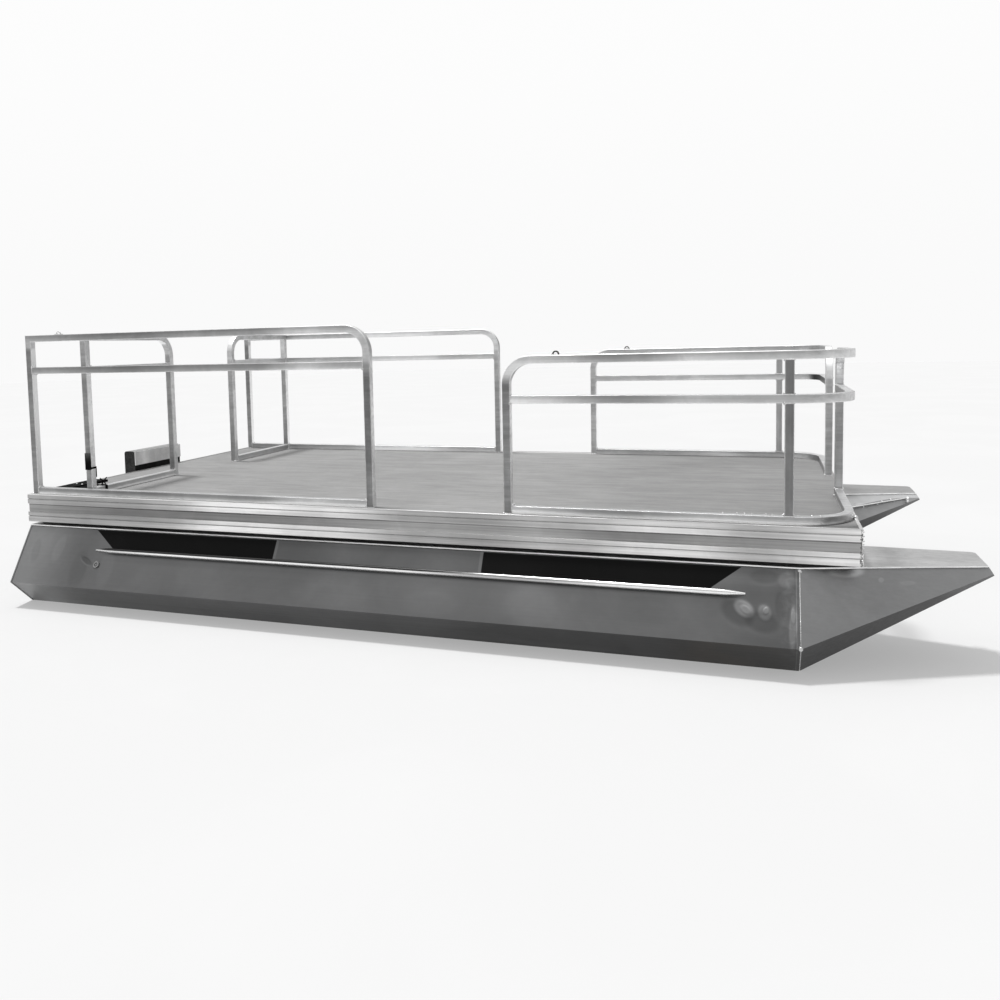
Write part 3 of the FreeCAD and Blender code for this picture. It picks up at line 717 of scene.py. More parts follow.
@dataclass(frozen=True)
class NoseSheet(Finish):
    """The same sheet on a nose, where the chine rises and there is no band."""

    side: Side
    tone: float = 0.26
    run: Stops = ((1.44, 0.98), (1.6, 0.95), (1.8, 0.99), (2.09, 1.10))
    rail: tuple[Pair, Pair] = ((0.0, 0.0), (1.0, 0.0))

    def lay(self, coat: Coat) -> None:
        """Lay colour, roughness and relief on the coat.

        Args:
            coat: the material under way.
        """
        nodes = coat.nodes
        clouds, fine = coat.clouds(2.8), coat.clouds(26.0, 0.3, 0.75)
        grain = coat.grain(GRAIN_STRETCH[Axis.X])
        tone = nodes.shade(nodes.product(self.tone, nodes.curve(coat.x, self.run)), (clouds, 0.97, 1.03),
                           (fine, 0.985, 1.015), (grain, 0.985, 1.015))
        for dent in DENTS:
            if dent.x > NOSE_SEAM:
                mask = coat.lobe((dent.x, dent.z), (dent.long, dent.high))
                tone = nodes.shade(tone, (mask, 1.0, 1.0 + dent.light))
        # Painted shade: the downward faces, where rust also lies, and the faces that look to the bow are
        # darker.
        below = nodes.ramp(nodes.split(nodes.normal())[2], -0.35, -0.15, 1.0, 0.0)
        bow_facing_shade = nodes.ramp(coat.facing()[0], 0.80, 0.92)
        tone = nodes.shade(nodes.product(tone, self.above_rail(coat)), (below, 1.0, 0.38), (bow_facing_shade, 1.0, 0.30))
        # A painted highlight on the sheet's edges.
        tone = nodes.math("ADD", tone, nodes.product(coat.edge(0.0015), 0.16))
        rust = nodes.product(below, nodes.ramp(clouds, 0.3, 0.8, 0.0, 0.8),
                             nodes.ramp(coat.x, 1.46, 1.70, 1.0, 0.1))
        coat.set("Base Color", nodes.mix(rust, coat.tinted(tone, -0.012), coat.tinted(tone, 0.10)))
        coat.rough(nodes.average(grain, clouds), 0.36, 0.50)
        coat.relief((coat.wave(2.6), 0.007), (grain, 0.00002))

    def above_rail(self, coat: Coat) -> Socket:
        """The light that the spray rail throws back on the sheet above it, on the nose's inner side.

        Args:
            coat: the material under way.

        Returns:
            The light's output.
        """
        nodes = coat.nodes
        (start, low), (end, high) = self.rail
        over = nodes.math("SUBTRACT", coat.z, nodes.ramp(coat.x, start, end, low, high))
        inner = nodes.ramp(coat.outward(self.side), PONTOON_MIDDLE - 0.04, PONTOON_MIDDLE - 0.02, 1.0, 0.0)
        lit = nodes.product(nodes.ramp(over, 0.0, 0.002), nodes.ramp(over, 0.012, 0.085, 1.0, 0.0), inner)
        return nodes.fade(lit, 1.0, 1.85)


@dataclass(frozen=True)
class EdgeExtrusion(Finish):
    """Ribbed edge trim: ribs painted light, the flat between them and the grooves painted in shade, a cut
    mitre.
    """

    axis: Axis
    tone: float = 0.60
    # The ribs' tone and the flat's tone along the trim: painted reflections.
    stops: Stops = ((-2.01, 0.7), (1.65, 0.7))
    flat_light: Stops = ((-2.01, 0.45), (1.65, 0.45))
    glints: Stops = ((-2.01, 0.0), (1.65, 0.0))
    flat: Pair = (0.4345, 0.4718)
    grooves: tuple[float, ...] = (0.4963, 0.4140)
    middle: float = 0.450
    lip: Pair = (0.5145, 0.5170)
    end: float = 1.6455

    def lay(self, coat: Coat) -> None:
        """Lay colour, roughness and relief on the coat.

        Args:
            coat: the material under way.
        """
        nodes = coat.nodes
        grain, streaks = coat.grain(GRAIN_STRETCH[self.axis]), coat.grain(STREAK_STRETCH[self.axis])
        clouds, specks = coat.clouds(9.0), coat.clouds(150.0, 0.60, 0.70)
        run = coat.x if self.axis is Axis.X else coat.y
        flat = nodes.span(coat.z, *self.flat, 0.0010)
        tone = nodes.lerp(flat, nodes.curve(run, self.stops), nodes.curve(run, self.flat_light))
        tone = nodes.shade(nodes.product(self.tone, tone), (grain, 0.92, 1.08), (streaks, 0.86, 1.12),
                           (clouds, 0.96, 1.04))
        # Painted shade: a dark line under the upper rib, and in each groove.
        line = nodes.span(coat.z, self.flat[1] - 0.0045, self.flat[1] - 0.0005, 0.0012)
        for level in self.grooves:
            line = nodes.math("ADD", line, nodes.span(coat.z, level - 0.0016, level + 0.0016, 0.0006))
        tone = nodes.shade(tone, (line, 1.0, 0.50))
        # Upward faces painted lighter, speckled.
        tone = nodes.lerp(nodes.ramp(coat.facing()[2], *SQUARE_ON), tone, nodes.fade(specks, 0.74, 0.95))
        # A painted highlight along the top lip, brighter aft.
        tone = nodes.lerp(nodes.ramp(coat.z, *self.lip), tone, nodes.ramp(run, -1.0, 0.0, 0.95, 0.55))
        # The edges get a painted highlight and a smoother finish.
        edge = coat.edge(0.0016)
        tone = nodes.math("ADD", tone, nodes.product(edge, 0.30), clamp=True)
        if self.axis is Axis.X:
            tone = nodes.shade(tone, (self.mitre(coat), 1.0, 0.22))
        coat.paint(tone, 0.006)
        coat.rough(nodes.math("ADD", nodes.product(grain, 0.6), nodes.product(edge, 0.4)), 0.26, 0.44)
        lean = nodes.product(nodes.curve(run, self.glints), nodes.math("SUBTRACT", 1.0, flat),
                             nodes.math("SUBTRACT", coat.z, self.middle))
        coat.relief((lean, 0.32), (streaks, 0.0002), (grain, 0.00006))

    def mitre(self, coat: Coat) -> Socket:
        """The dark ragged line of the cut at the side trim's bow end.

        Args:
            coat: the material under way.

        Returns:
            The mask's output.
        """
        nodes = coat.nodes
        ragged = nodes.math("ADD", coat.x, nodes.fade(coat.clouds(120.0, 0.35, 0.65), -0.0030, 0.0030))
        cut = nodes.span(ragged, self.end - 0.0040, self.end + 0.0010, 0.0010)
        return nodes.product(cut, nodes.ramp(coat.facing()[2], 0.3, 0.6, 1.0, 0.0))


@dataclass(frozen=True)
class RailTube(Finish):
    """Square tube: brushed faces, corners rubbed and painted bright, posts painted darker than the rails as
    shade.

    A tube with a post_top is a hoop or a post, and is a post up to there. The stops run from stern to bow,
    near for the starboard rails and far for the port ones.
    """

    axis: Axis = Axis.X
    post_top: float = 0.0
    bend: float = 0.20
    levels: tuple[float, ...] = ()
    tone: float = 0.62
    post_shade_tone: float = 0.26
    # These stops paint each face's light along the boat: ends on the faces that look along X; rail and post
    # on those that look along Y.
    ends: Stops = (
        (-2.0, 1.30), (-1.85, 1.15), (-1.69, 1.0), (-0.2, 0.80), (0.4, 0.85), (1.41, 0.82), (1.62, 1.0),
        (1.65, 1.0))
    near_rail: Stops = (
        (-2.0, 0.80), (-1.70, 0.68), (-1.50, 0.52), (-1.30, 0.53), (-1.10, 0.68), (-0.70, 0.72),
        (-0.50, 1.33), (-0.28, 1.05), (0.40, 1.35), (0.55, 1.22), (0.70, 0.80), (0.90, 0.73), (1.10, 1.18),
        (1.30, 1.0), (1.65, 0.98))
    far_rail: Stops = (
        (-2.0, 0.55), (-1.70, 1.12), (-1.30, 1.22), (-1.10, 1.45), (-0.80, 1.60), (-0.50, 1.50),
        (0.40, 1.20), (0.90, 1.32), (1.10, 1.58), (1.30, 1.20), (1.65, 1.40))
    near_post: Stops = (
        (-2.0, 0.95), (-1.85, 0.90), (-1.69, 1.22), (-1.0, 1.0), (-0.2, 0.98), (0.4, 0.88), (1.41, 0.90),
        (1.50, 1.0), (1.62, 1.40), (1.65, 1.40))
    near_lean: Stops = ((-2.0, 0.0), (1.50, 0.0), (1.59, 0.35), (1.65, 0.42))
    far_lean: Stops = (
        (-2.0, 0.0), (-1.25, 0.0), (-1.05, 1.0), (-0.70, 1.0), (-0.45, 0.1), (1.0, 0.0), (1.1, 0.4),
        (1.3, 0.0), (1.65, 0.5))
    far_depth: float = -0.36
    bow_post: Pair = (0.975, 0.992)
    stern_bend: Pair = (-1.92, -1.90)
    bow_bend: Pair = (1.50, 1.55)
    bow_corner: Pair = (1.50, 1.58)
    above_base: Pair = (0.60, 0.64)
    behind_light: float = 0.12
    crossing_y: Pair = (0.5, 0.8)
    crossing_x: Pair = (-1.0, -0.5)
    # Painted light that brightens a rail's foot where it meets the deck.
    foot: Stops = (
        (0.516, 2.2), (0.522, 2.0), (0.528, 1.25), (0.535, 0.98), (0.540, 0.96))
    far_post: Stops = (
        (-2.0, 0.90), (-1.85, 1.1), (-1.69, 1.60), (-0.2, 2.0), (0.4, 2.25), (1.41, 2.8), (1.62, 1.8),
        (1.65, 1.8))

    def lay(self, coat: Coat) -> None:
        """Lay colour, roughness and relief on the coat.

        Args:
            coat: the material under way.
        """
        nodes = coat.nodes
        across, _, up = coat.facing()
        clouds, fine = coat.clouds(7.0), coat.clouds(42.0, 0.32, 0.72)
        grain, streaks = coat.grain(GRAIN_STRETCH[self.axis]), coat.grain(STREAK_STRETCH[self.axis])
        far = nodes.ramp(coat.y, -0.02, 0.02)
        rail_light = nodes.product(self.sides(coat, far, self.near_rail, self.far_rail), self.shading(coat),
                                   self.tone)
        post_light = nodes.shade(self.sides(coat, far, self.near_post, self.far_post),
                                 (coat.grain((6.0, 6.0, 1.3)), 0.76, 1.30))
        post, behind = self.post(coat), self.behind(coat)
        face = nodes.lerp(post, rail_light, nodes.product(post_light, self.post_shade_tone))
        inner = nodes.product(nodes.ramp(nodes.math("ABSOLUTE", coat.y), *self.crossing_y, 1.0, 0.0),
                              nodes.ramp(coat.x, *self.crossing_x, 1.0, 0.0))
        post_end = nodes.shade(nodes.product(nodes.curve(coat.x, self.ends), behind),
                               (coat.grain((9.0, 9.0, 2.6)), 0.88, 1.08), (inner, 1.0, 0.70))
        end = nodes.lerp(post, nodes.product(behind, self.tone), post_end)
        tone = nodes.lerp(nodes.ramp(across, *SQUARE_ON), face, end)
        # Upward faces painted light.
        tone = nodes.lerp(nodes.ramp(up, *SQUARE_ON), tone, 0.95)
        tone = nodes.shade(tone, (clouds, 0.93, 1.06), (fine, 0.97, 1.03), (grain, 0.95, 1.05),
                           (streaks, 0.86, 1.12))
        # A rail's foot painted lighter.
        if not self.post_top:
            tone = nodes.product(tone, nodes.lerp(far, nodes.curve(coat.z, self.foot), 1.0))
        # The edges get a painted highlight and a smoother finish.
        edge = coat.edge(0.0042)
        coat.paint(nodes.math("ADD", tone, nodes.product(edge, 0.95), clamp=True), -0.006)
        coat.rough(nodes.average(grain, edge), 0.20, 0.40)
        lean = nodes.lerp(far, nodes.curve(coat.x, self.near_lean),
                          nodes.product(nodes.curve(coat.x, self.far_lean), self.far_depth))
        coat.relief((clouds, 0.0003), (grain, 0.00004), rounding=0.0032,
                    tilt=nodes.product(lean, nodes.ramp(up, *SQUARE_ON, 1.0, 0.0)))

    def sides(self, coat: Coat, far: Socket, starboard: Stops, port: Stops) -> Socket:
        """A light that follows one set of stops on each side of the boat.

        Args:
            coat: the material under way.
            far: the mask of the port side.
            starboard: the starboard stops.
            port: the port stops.

        Returns:
            The light's output.
        """
        return coat.nodes.lerp(far, coat.nodes.curve(coat.x, starboard), coat.nodes.curve(coat.x, port))

    def post(self, coat: Coat) -> Value:
        """Where the tube is a post: sharp under a square corner, gradual up to a bend.

        Args:
            coat: the material under way.

        Returns:
            The mask.
        """
        if not self.post_top:
            return 0.0
        nodes = coat.nodes
        square = nodes.ramp(coat.z, self.post_top - 0.03, self.post_top, 1.0, 0.0)
        bent = nodes.ramp(coat.z, self.post_top - self.bend, self.post_top - 0.01, 1.0, 0.0)
        bow = nodes.ramp(coat.z, *self.bow_post, 1.0, 0.0)
        aft = nodes.lerp(nodes.ramp(coat.x, *self.stern_bend), square, bent)
        return nodes.lerp(nodes.ramp(coat.x, *self.bow_bend), aft, bow)

    def behind(self, coat: Coat) -> Value:
        """The low light on the rails' aft faces inside the bow corner, lowest above the base rail.

        Args:
            coat: the material under way.

        Returns:
            The light, which is 1 on a hoop or a post.
        """
        if self.post_top:
            return 1.0
        nodes = coat.nodes
        aft = nodes.ramp(nodes.split(nodes.normal())[0], -0.9, -0.5, 1.0, 0.0)
        inside = nodes.product(aft, nodes.ramp(coat.x, *self.bow_corner),
                               nodes.ramp(coat.z, *self.above_base, 0.45, 1.0))
        return nodes.fade(inside, 1.0, self.behind_light)

    def shading(self, coat: Coat) -> Value:
        """The light over a rail's face, which is a little lighter at its foot than under its top edge.

        Args:
            coat: the material under way.

        Returns:
            The light.
        """
        if not self.levels:
            return 1.0
        face = ((0.0, 1.18), (0.014, 1.0), (0.0265, 0.78), (0.0317, 0.86))
        stops = tuple((level + up, light) for level in self.levels for up, light in face)
        return coat.nodes.curve(coat.z, stops)


@dataclass(frozen=True)
class PlateMetal(Finish):
    """Plain plate and bar: top plates, channels, bars and fittings, with tops and undersides painted as light
    and shade.
    """

    tone: float
    top_light: float
    under_shade: float
    roughness: Pair = (0.38, 0.55)
    axis: Axis = Axis.X
    edge_light: float = 0.2
    grain_depth: float = 0.06
    sweep: Stops = ()
    sweep_axis: Axis = Axis.X
    lean: float = 0.0

    def lay(self, coat: Coat) -> None:
        """Lay colour, roughness and relief on the coat.

        Args:
            coat: the material under way.
        """
        nodes = coat.nodes
        up = nodes.split(nodes.normal())[2]
        clouds, fine = coat.clouds(3.2), coat.clouds(30.0, 0.3, 0.7)
        grain, streaks = coat.grain(GRAIN_STRETCH[self.axis]), coat.grain(STREAK_STRETCH[self.axis])
        low, high = 1.0 - self.grain_depth, 1.0 + self.grain_depth
        # Upward faces painted in their own light, downward faces painted darker as shade.
        tone = nodes.lerp(nodes.ramp(up, 0.55, 0.9), self.tone, self.top_light)
        tone = nodes.lerp(nodes.ramp(up, -0.9, -0.55, 1.0, 0.0), tone, self.under_shade)
        tone = nodes.shade(tone, (clouds, 0.93, 1.06), (fine, 0.95, 1.05), (grain, low, high),
                           (streaks, low, high))
        if self.sweep:
            run = coat.x if self.sweep_axis is Axis.X else coat.y
            tone = nodes.product(tone, nodes.curve(run, self.sweep))
        coat.paint(nodes.math("ADD", tone, nodes.product(coat.edge(0.0012), self.edge_light), clamp=True))
        coat.rough(nodes.average(grain, clouds), *self.roughness)
        tilt = nodes.ramp(nodes.math("ABSOLUTE", up), 0.3, 0.6, self.lean, 0.0) if self.lean else None
        coat.relief((clouds, 0.0012), (grain, 0.00006), tilt=tilt)


@dataclass(frozen=True)
class BarMetal(Finish):
    """A half-round bar: painted highlight along its middle, painted dark crown aft, painted shade underneath.
    """

    stops: Stops = (
        (-1.60, 0.90), (-1.50, 0.72), (-1.27, 0.95), (-1.0, 1.0), (-0.50, 1.0), (-0.28, 0.98),
        (-0.05, 0.95), (0.16, 0.60), (0.36, 0.50), (0.56, 0.56), (0.75, 0.88), (0.93, 1.0), (1.27, 1.0))
    level: float = 0.277
    crown: float = 0.05
    crown_end: Pair = (0.0, 0.35)

    def lay(self, coat: Coat) -> None:
        """Lay colour, roughness and relief on the coat.

        Args:
            coat: the material under way.
        """
        nodes = coat.nodes
        fine, grain = coat.clouds(60.0, 0.3, 0.7), coat.grain(GRAIN_STRETCH[Axis.X])
        tone = nodes.shade(nodes.curve(coat.x, self.stops), (fine, 0.95, 1.0), (grain, 0.95, 1.0))
        # Painted shade on the underside.
        tone = nodes.product(tone, nodes.ramp(coat.z, self.level - 0.012, self.level - 0.008, 0.60, 1.0))
        # A painted dark reflection on the crown, aft of the middle.
        height = nodes.math("ADD", coat.z, nodes.ramp(coat.x, *self.crown_end, 0.0, -0.006))
        coat.paint(nodes.lerp(nodes.ramp(height, self.level + 0.0035, self.level + 0.0065), tone, self.crown))
        coat.rough(grain, 0.20, 0.34)
        coat.relief((grain, 0.00004), tilt=nodes.ramp(coat.x, 0.1, 0.6, 0.30, 0.15))


@dataclass(frozen=True)
class PlugMetal(Finish):
    """A screwed plug: turned rings round its middle."""

    centre: Pair
    rings: Stops = (
        (0.0, 0.34), (0.003, 0.30), (0.005, 0.15), (0.008, 0.16), (0.010, 0.38), (0.012, 0.36),
        (0.014, 0.20), (0.030, 0.20))

    def lay(self, coat: Coat) -> None:
        """Lay colour, roughness and relief on the coat.

        Args:
            coat: the material under way.
        """
        nodes = coat.nodes
        away = coat.beside(self.centre)
        clouds, fine = coat.clouds(60.0), coat.clouds(400.0, 0.3, 0.7)
        tone = nodes.shade(nodes.curve(away, self.rings), (clouds, 0.85, 1.12), (fine, 0.93, 1.05))
        # A painted highlight on the plug's edges.
        coat.paint(nodes.math("ADD", tone, nodes.product(coat.edge(0.0012), 0.10)))
        coat.rough(clouds, 0.36, 0.50)
        coat.relief((away, 0.02), (fine, 0.0001))


@dataclass(frozen=True)
class BoardFinish(Finish):
    """The motor board: a scuffed grey end, a black lower face and a bright strip along its top."""

    metallic: ClassVar[float] = 0.0
    plate_top: float
    end_tone: float = 0.050
    black_tone: float = 0.006
    specular: float = 0.10

    def lay(self, coat: Coat) -> None:
        """Lay colour, roughness and relief on the coat.

        Args:
            coat: the material under way.
        """
        coat.set(SPECULAR, self.specular)
        nodes = coat.nodes
        across, along, up = coat.facing()
        fine, clouds = coat.clouds(90.0, 0.3, 0.7), coat.clouds(14.0)
        level = nodes.product(nodes.ramp(coat.z, self.plate_top - 0.001, self.plate_top + 0.001),
                              nodes.ramp(across, *SQUARE_ON))
        strip = nodes.math("ADD", level, nodes.ramp(up, *SQUARE_ON), clamp=True)
        tone = nodes.lerp(nodes.ramp(along, *SQUARE_ON), self.black_tone, self.end_tone)
        tone = nodes.shade(tone, (fine, 0.78, 1.22), (clouds, 0.85, 1.15))
        tone = nodes.lerp(strip, tone, nodes.fade(fine, 0.34, 0.44))
        coat.paint(nodes.math("ADD", tone, nodes.product(coat.edge(0.0030), clouds, 0.05)))
        coat.rough(fine, 0.5, 0.75)
        coat.relief((fine, 0.0004))


@dataclass(frozen=True)
class DeckCover(Finish):
    """Grey deck covering: a fine pebble, long faint wipe marks, darker towards the bow and a little at the
    stern.
    """

    metallic: ClassVar[float] = 0.0
    tone: float = 0.345
    lip: Pair = (1.001, 1.003)
    lip_tone: float = 0.98
    bow_darkening: Pair = (0.2, 1.0)
    stern_darkening: Pair = (-2.0, -1.2)

    def lay(self, coat: Coat) -> None:
        """Lay colour, roughness and relief on the coat.

        Args:
            coat: the material under way.
        """
        nodes = coat.nodes
        wipe = nodes.add("Mapping", Vector=coat.place, Scale=(1.3, 9.0, 1.0)).outputs[0]
        marks = nodes.noise(wipe, 1.6, 6.0, 0.66, 1.4)
        pebble = nodes.add("TexVoronoi", Vector=coat.place, Scale=420.0).outputs["Distance"]
        specks, broad, middling = coat.clouds(190.0, 0.58, 0.66), coat.clouds(1.3), coat.clouds(11.0)
        tone = nodes.product(self.tone, nodes.ramp(coat.x, *self.bow_darkening, 1.0, 0.80),
                             nodes.ramp(coat.x, *self.stern_darkening, 0.94, 1.0),
                             nodes.ramp(marks, 0.32, 0.68, 0.91, 1.09),
                             nodes.ramp(pebble, 0.0, 0.7, 1.07, 0.90))
        tone = nodes.shade(tone, (middling, 0.97, 1.03), (broad, 0.95, 1.06), (specks, 1.0, 1.16))
        # The outer strip stands in for the trim's lip over the flooring, painted near white as light where
        # the rail shades it.
        lip = nodes.ramp(nodes.math("ABSOLUTE", coat.y), *self.lip)
        coat.paint(nodes.lerp(lip, tone, self.lip_tone), 0.01)
        coat.rough(marks, 0.52, 0.78)
        coat.relief((marks, 0.0004), (pebble, 0.0004))


@dataclass(frozen=True)
class Plywood(Finish):
    """Treated floor panel, grained along its plies, painted dark as the shade under the deck."""

    metallic: ClassVar[float] = 0.0
    tone: float = 0.055

    def lay(self, coat: Coat) -> None:
        """Lay colour, roughness and relief on the coat.

        Args:
            coat: the material under way.
        """
        grain = coat.grain((3.0, 60.0, 400.0))
        coat.paint(coat.nodes.shade(self.tone, (grain, 0.7, 1.25), (coat.clouds(4.0), 0.85, 1.1)), 0.5)
        coat.rough(grain, 0.6, 0.85)
        coat.relief((grain, 0.0004))


@dataclass(frozen=True)
class BlackSurface(Finish):
    """Black rubber: a matt skin with scuffed grey edges, and paler to its top where it has a fade."""

    metallic: ClassVar[float] = 0.0
    tone: float = 0.006
    roughness: Pair = (0.55, 0.8)
    gloss: float = 0.03
    fade: Pair | None = None

    def lay(self, coat: Coat) -> None:
        """Lay colour, roughness and relief on the coat.

        Args:
            coat: the material under way.
        """
        coat.set(SPECULAR, self.gloss)
        nodes = coat.nodes
        fine, clouds = coat.clouds(160.0, 0.3, 0.7), coat.clouds(12.0)
        tone = nodes.shade(self.tone, (fine, 0.75, 1.3), (clouds, 0.8, 1.25))
        tone = nodes.math("ADD", tone, nodes.product(coat.edge(0.0020), clouds, 0.03))
        if self.fade:
            tone = nodes.math("ADD", tone, nodes.product(nodes.ramp(coat.z, *self.fade, 0.0, 0.10), clouds))
        coat.paint(tone)
        coat.rough(fine, *self.roughness)
        coat.relief((fine, 0.0003))


@dataclass(frozen=True)
class WeldMetal(Finish):
    """Bright weld metal, finely mottled."""

    tone: float = 0.86

    def lay(self, coat: Coat) -> None:
        """Lay colour, roughness and relief on the coat.

        Args:
            coat: the material under way.
        """
        fine, clouds = coat.clouds(260.0, 0.3, 0.7), coat.clouds(30.0)
        coat.paint(coat.nodes.shade(self.tone, (fine, 0.72, 1.08), (clouds, 0.82, 1.05)))
        coat.rough(clouds, 0.22, 0.42)
        coat.relief((fine, 0.0003))


def dress(node: str, material: Material) -> None:
    """Give a CAD node its material.

    Args:
        node: the node's name.
        material: its finish.
    """
    piece = bpy.data.objects[node]
    piece.data.materials.clear()
    piece.data.materials.append(material)


def show(name: str, data: bpy.types.ID) -> bpy.types.Object:
    """Make an object and add it to the scene.

    Args:
        name: its name.
        data: its mesh, lamp or camera.

    Returns:
        The object.
    """
    thing = bpy.data.objects.new(name, data)
    bpy.context.scene.collection.objects.link(thing)
    return thing


def put(name: str, work: BMesh, material: Material) -> None:
    """Turn a finished bmesh into a smooth piece that rides on the boat.

    Args:
        name: the piece's name.
        work: its mesh, which is used up.
        material: its finish.
    """
    bmesh.ops.recalc_face_normals(work, faces=work.faces)
    for one in work.faces:
        one.smooth = True
    mesh = bpy.data.meshes.new(name)
    work.to_mesh(mesh)
    faces = len(work.faces)
    work.free()
    mesh.materials.append(material)
    piece = show(name, mesh)
    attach(piece, ROOT)
    LOG.info("%s: %d faces", name, faces)


def lump(work: BMesh, place: Vector, size: float, shape: Triple = (1.15, 0.8, 0.9)) -> None:
    """Add one oval lump.

    Args:
        work: the mesh that takes it.
        place: its middle.
        size: its radius.
        shape: its stretch along X, Y and Z.
    """
    bmesh.ops.create_icosphere(work, subdivisions=2, radius=size,
                               matrix=Matrix.Translation(place) @ Matrix.Diagonal((*shape, 1.0)))


# ---- weld beads -------------------------------------------------------------
@dataclass
class Bead:
    """A rippled weld bead of one radius."""

    radius: float = 0.0030
    pitch: float = 0.0044
    waist: float = 0.72
    sides: int = 6

    def lay(self, work: BMesh, path: list[Vector]) -> None:
        """Lay a bead along straight runs.

        Args:
            work: the mesh that takes it.
            path: the runs' corners.
        """
        for start, end in zip(path, path[1:]):
            self.run(work, start, end)

    def run(self, work: BMesh, start: Vector, end: Vector) -> None:
        """Lay one straight run, closed at both ends.

        Args:
            work: the mesh that takes it.
            start: where it starts.
            end: where it ends.
        """
        way = end - start
        steps = max(4, 2 * round(way.length / self.pitch))
        turn = way.to_track_quat("Z", "Y").to_matrix().to_4x4()
        ring = bmesh.ops.create_circle(work, cap_ends=True, segments=self.sides, radius=self.radius * 0.5,
                                       matrix=Matrix.Translation(start) @ turn)["verts"]
        edges = list({edge for vert in ring for edge in vert.link_edges})
        size = 0.5
        for number in range(1, steps + 1):
            grown = bmesh.ops.extrude_edge_only(work, edges=edges)["geom"]
            ring = [one for one in grown if isinstance(one, bmesh.types.BMVert)]
            edges = [one for one in grown if isinstance(one, bmesh.types.BMEdge)]
            new = 0.5 if number == steps else (1.0 if number % 2 else self.waist)
            bmesh.ops.translate(work, verts=ring, vec=way / steps)
            centre = start + way * (number / steps)
            bmesh.ops.scale(work, verts=ring, vec=Vector((1, 1, 1)) * (new / size),
                            space=Matrix.Translation(-centre))
            size = new
        bmesh.ops.contextual_create(work, geom=edges)

    def collar(self, work: BMesh, centre: Vector, axis: Axis, half: float) -> None:
        """Lay a bead round a square tube.

        Args:
            work: the mesh that takes it.
            centre: the tube's middle at the joint.
            axis: the way that the tube runs.
            half: half the tube's width.
        """
        first = Vector((0, 1, 0)) if axis is Axis.X else Vector((1, 0, 0))
        second = Vector((0, 1, 0)) if axis is Axis.Z else Vector((0, 0, 1))
        signs = ((-1, -1), (1, -1), (1, 1), (-1, 1))
        corners = [centre + first * half * a + second * half * b for a, b in signs]
        self.lay(work, corners + corners[:1])


@dataclass
class RailWelds:
    """The beads at every joint of the rails."""

    tube: float = 0.03175
    rail_y: float = 0.986
    stern_post: float = -1.982
    crossing: float = -1.687
    gate_aft: float = -0.216
    gate_bow: float = 0.378
    bow_post: float = 1.411
    bow_crossing: float = 1.622
    end_post_y: float = 0.304
    floor: float = 0.516
    aft_mid: float = 1.1125
    bow_mid: float = 0.968
    aft_top: float = 1.281
    bow_top: float = 1.139

    def joints(self) -> list[tuple[float, float, float, Axis]]:
        """Where the tubes meet on one side.

        Returns:
            For each joint its X, distance from the centreline, height and the way that the joining tube runs.
        """
        half = self.tube / 2
        base = self.floor + half
        feet = [(self.stern_post, self.rail_y), (self.gate_aft, self.rail_y), (self.gate_bow, self.rail_y),
                (self.crossing, self.rail_y - self.tube), (self.crossing, self.end_post_y),
                (self.bow_crossing, self.end_post_y)]
        found = [(x, y, self.floor + 0.001, Axis.Z) for x, y in feet]
        for level in (base, self.aft_mid):
            found += [(self.stern_post + half, self.rail_y, level, Axis.X),
                      (self.gate_aft - half, self.rail_y, level, Axis.X),
                      (self.crossing, self.rail_y - self.tube * 1.5, level, Axis.Y),
                      (self.crossing, self.end_post_y + half, level, Axis.Y)]
        for level in (base, self.bow_mid):
            found += [(self.gate_bow + half, self.rail_y, level, Axis.X),
                      (self.bow_crossing, self.end_post_y + half, level, Axis.Y)]
        for level in (self.floor + self.tube, self.bow_mid - half, self.bow_mid + half,
                      self.bow_top - self.tube):
            found.append((self.bow_post, self.rail_y, level, Axis.Z))
        return found

    def build(self, finish: Material) -> None:
        """Make both sides' beads.

        Args:
            finish: the weld metal.
        """
        bead = Bead()
        chance = random.Random(7)
        for side in Side:
            work = bmesh.new()
            for x, y, z, axis in self.joints():
                middle = Vector((x, side.value * y, z))
                bead.collar(work, middle, axis, self.tube / 2)
                for _ in range(2):
                    corner = [chance.choice((-0.5, 0.5)) * self.tube for _ in range(3)]
                    corner["xyz".index(axis.name.lower())] = 0.0
                    lump(work, middle + Vector(corner), chance.uniform(0.0042, 0.0062), (1.0, 0.8, 1.1))
            put(f"{side.word}_rail_welds", work, finish)


@dataclass
class PontoonWelds:
    """The bead down each nose seam, with a lump at its head and at each turn."""

    top: Pair = (0.2135, 0.363)
    chine: Pair = (0.3608, 0.121)
    foot: Pair = (0.2350, 0.0044)
    lumps: Triple = (0.0100, 0.0075, 0.0035)
    lump_drop: float = -0.009

    def build(self, finish: Material) -> None:
        """Make both pontoons' beads.

        Args:
            finish: the weld metal.
        """
        bead = Bead(radius=0.0028, pitch=0.0060, waist=0.78)
        for side in Side:
            work = bmesh.new()
            for hand in (-1, 1):
                path = [Vector((NOSE_SEAM, side.value * PONTOON_MIDDLE + hand * out, z))
                        for out, z in (self.top, self.chine, self.foot)]
                bead.lay(work, path)
                for corner, size in zip((path[0] + Vector((0, 0, self.lump_drop)), *path[1:]), self.lumps):
                    lump(work, corner, size, (1.0, 0.7, 1.15))
            put(f"{side.word}_pontoon_welds", work, finish)


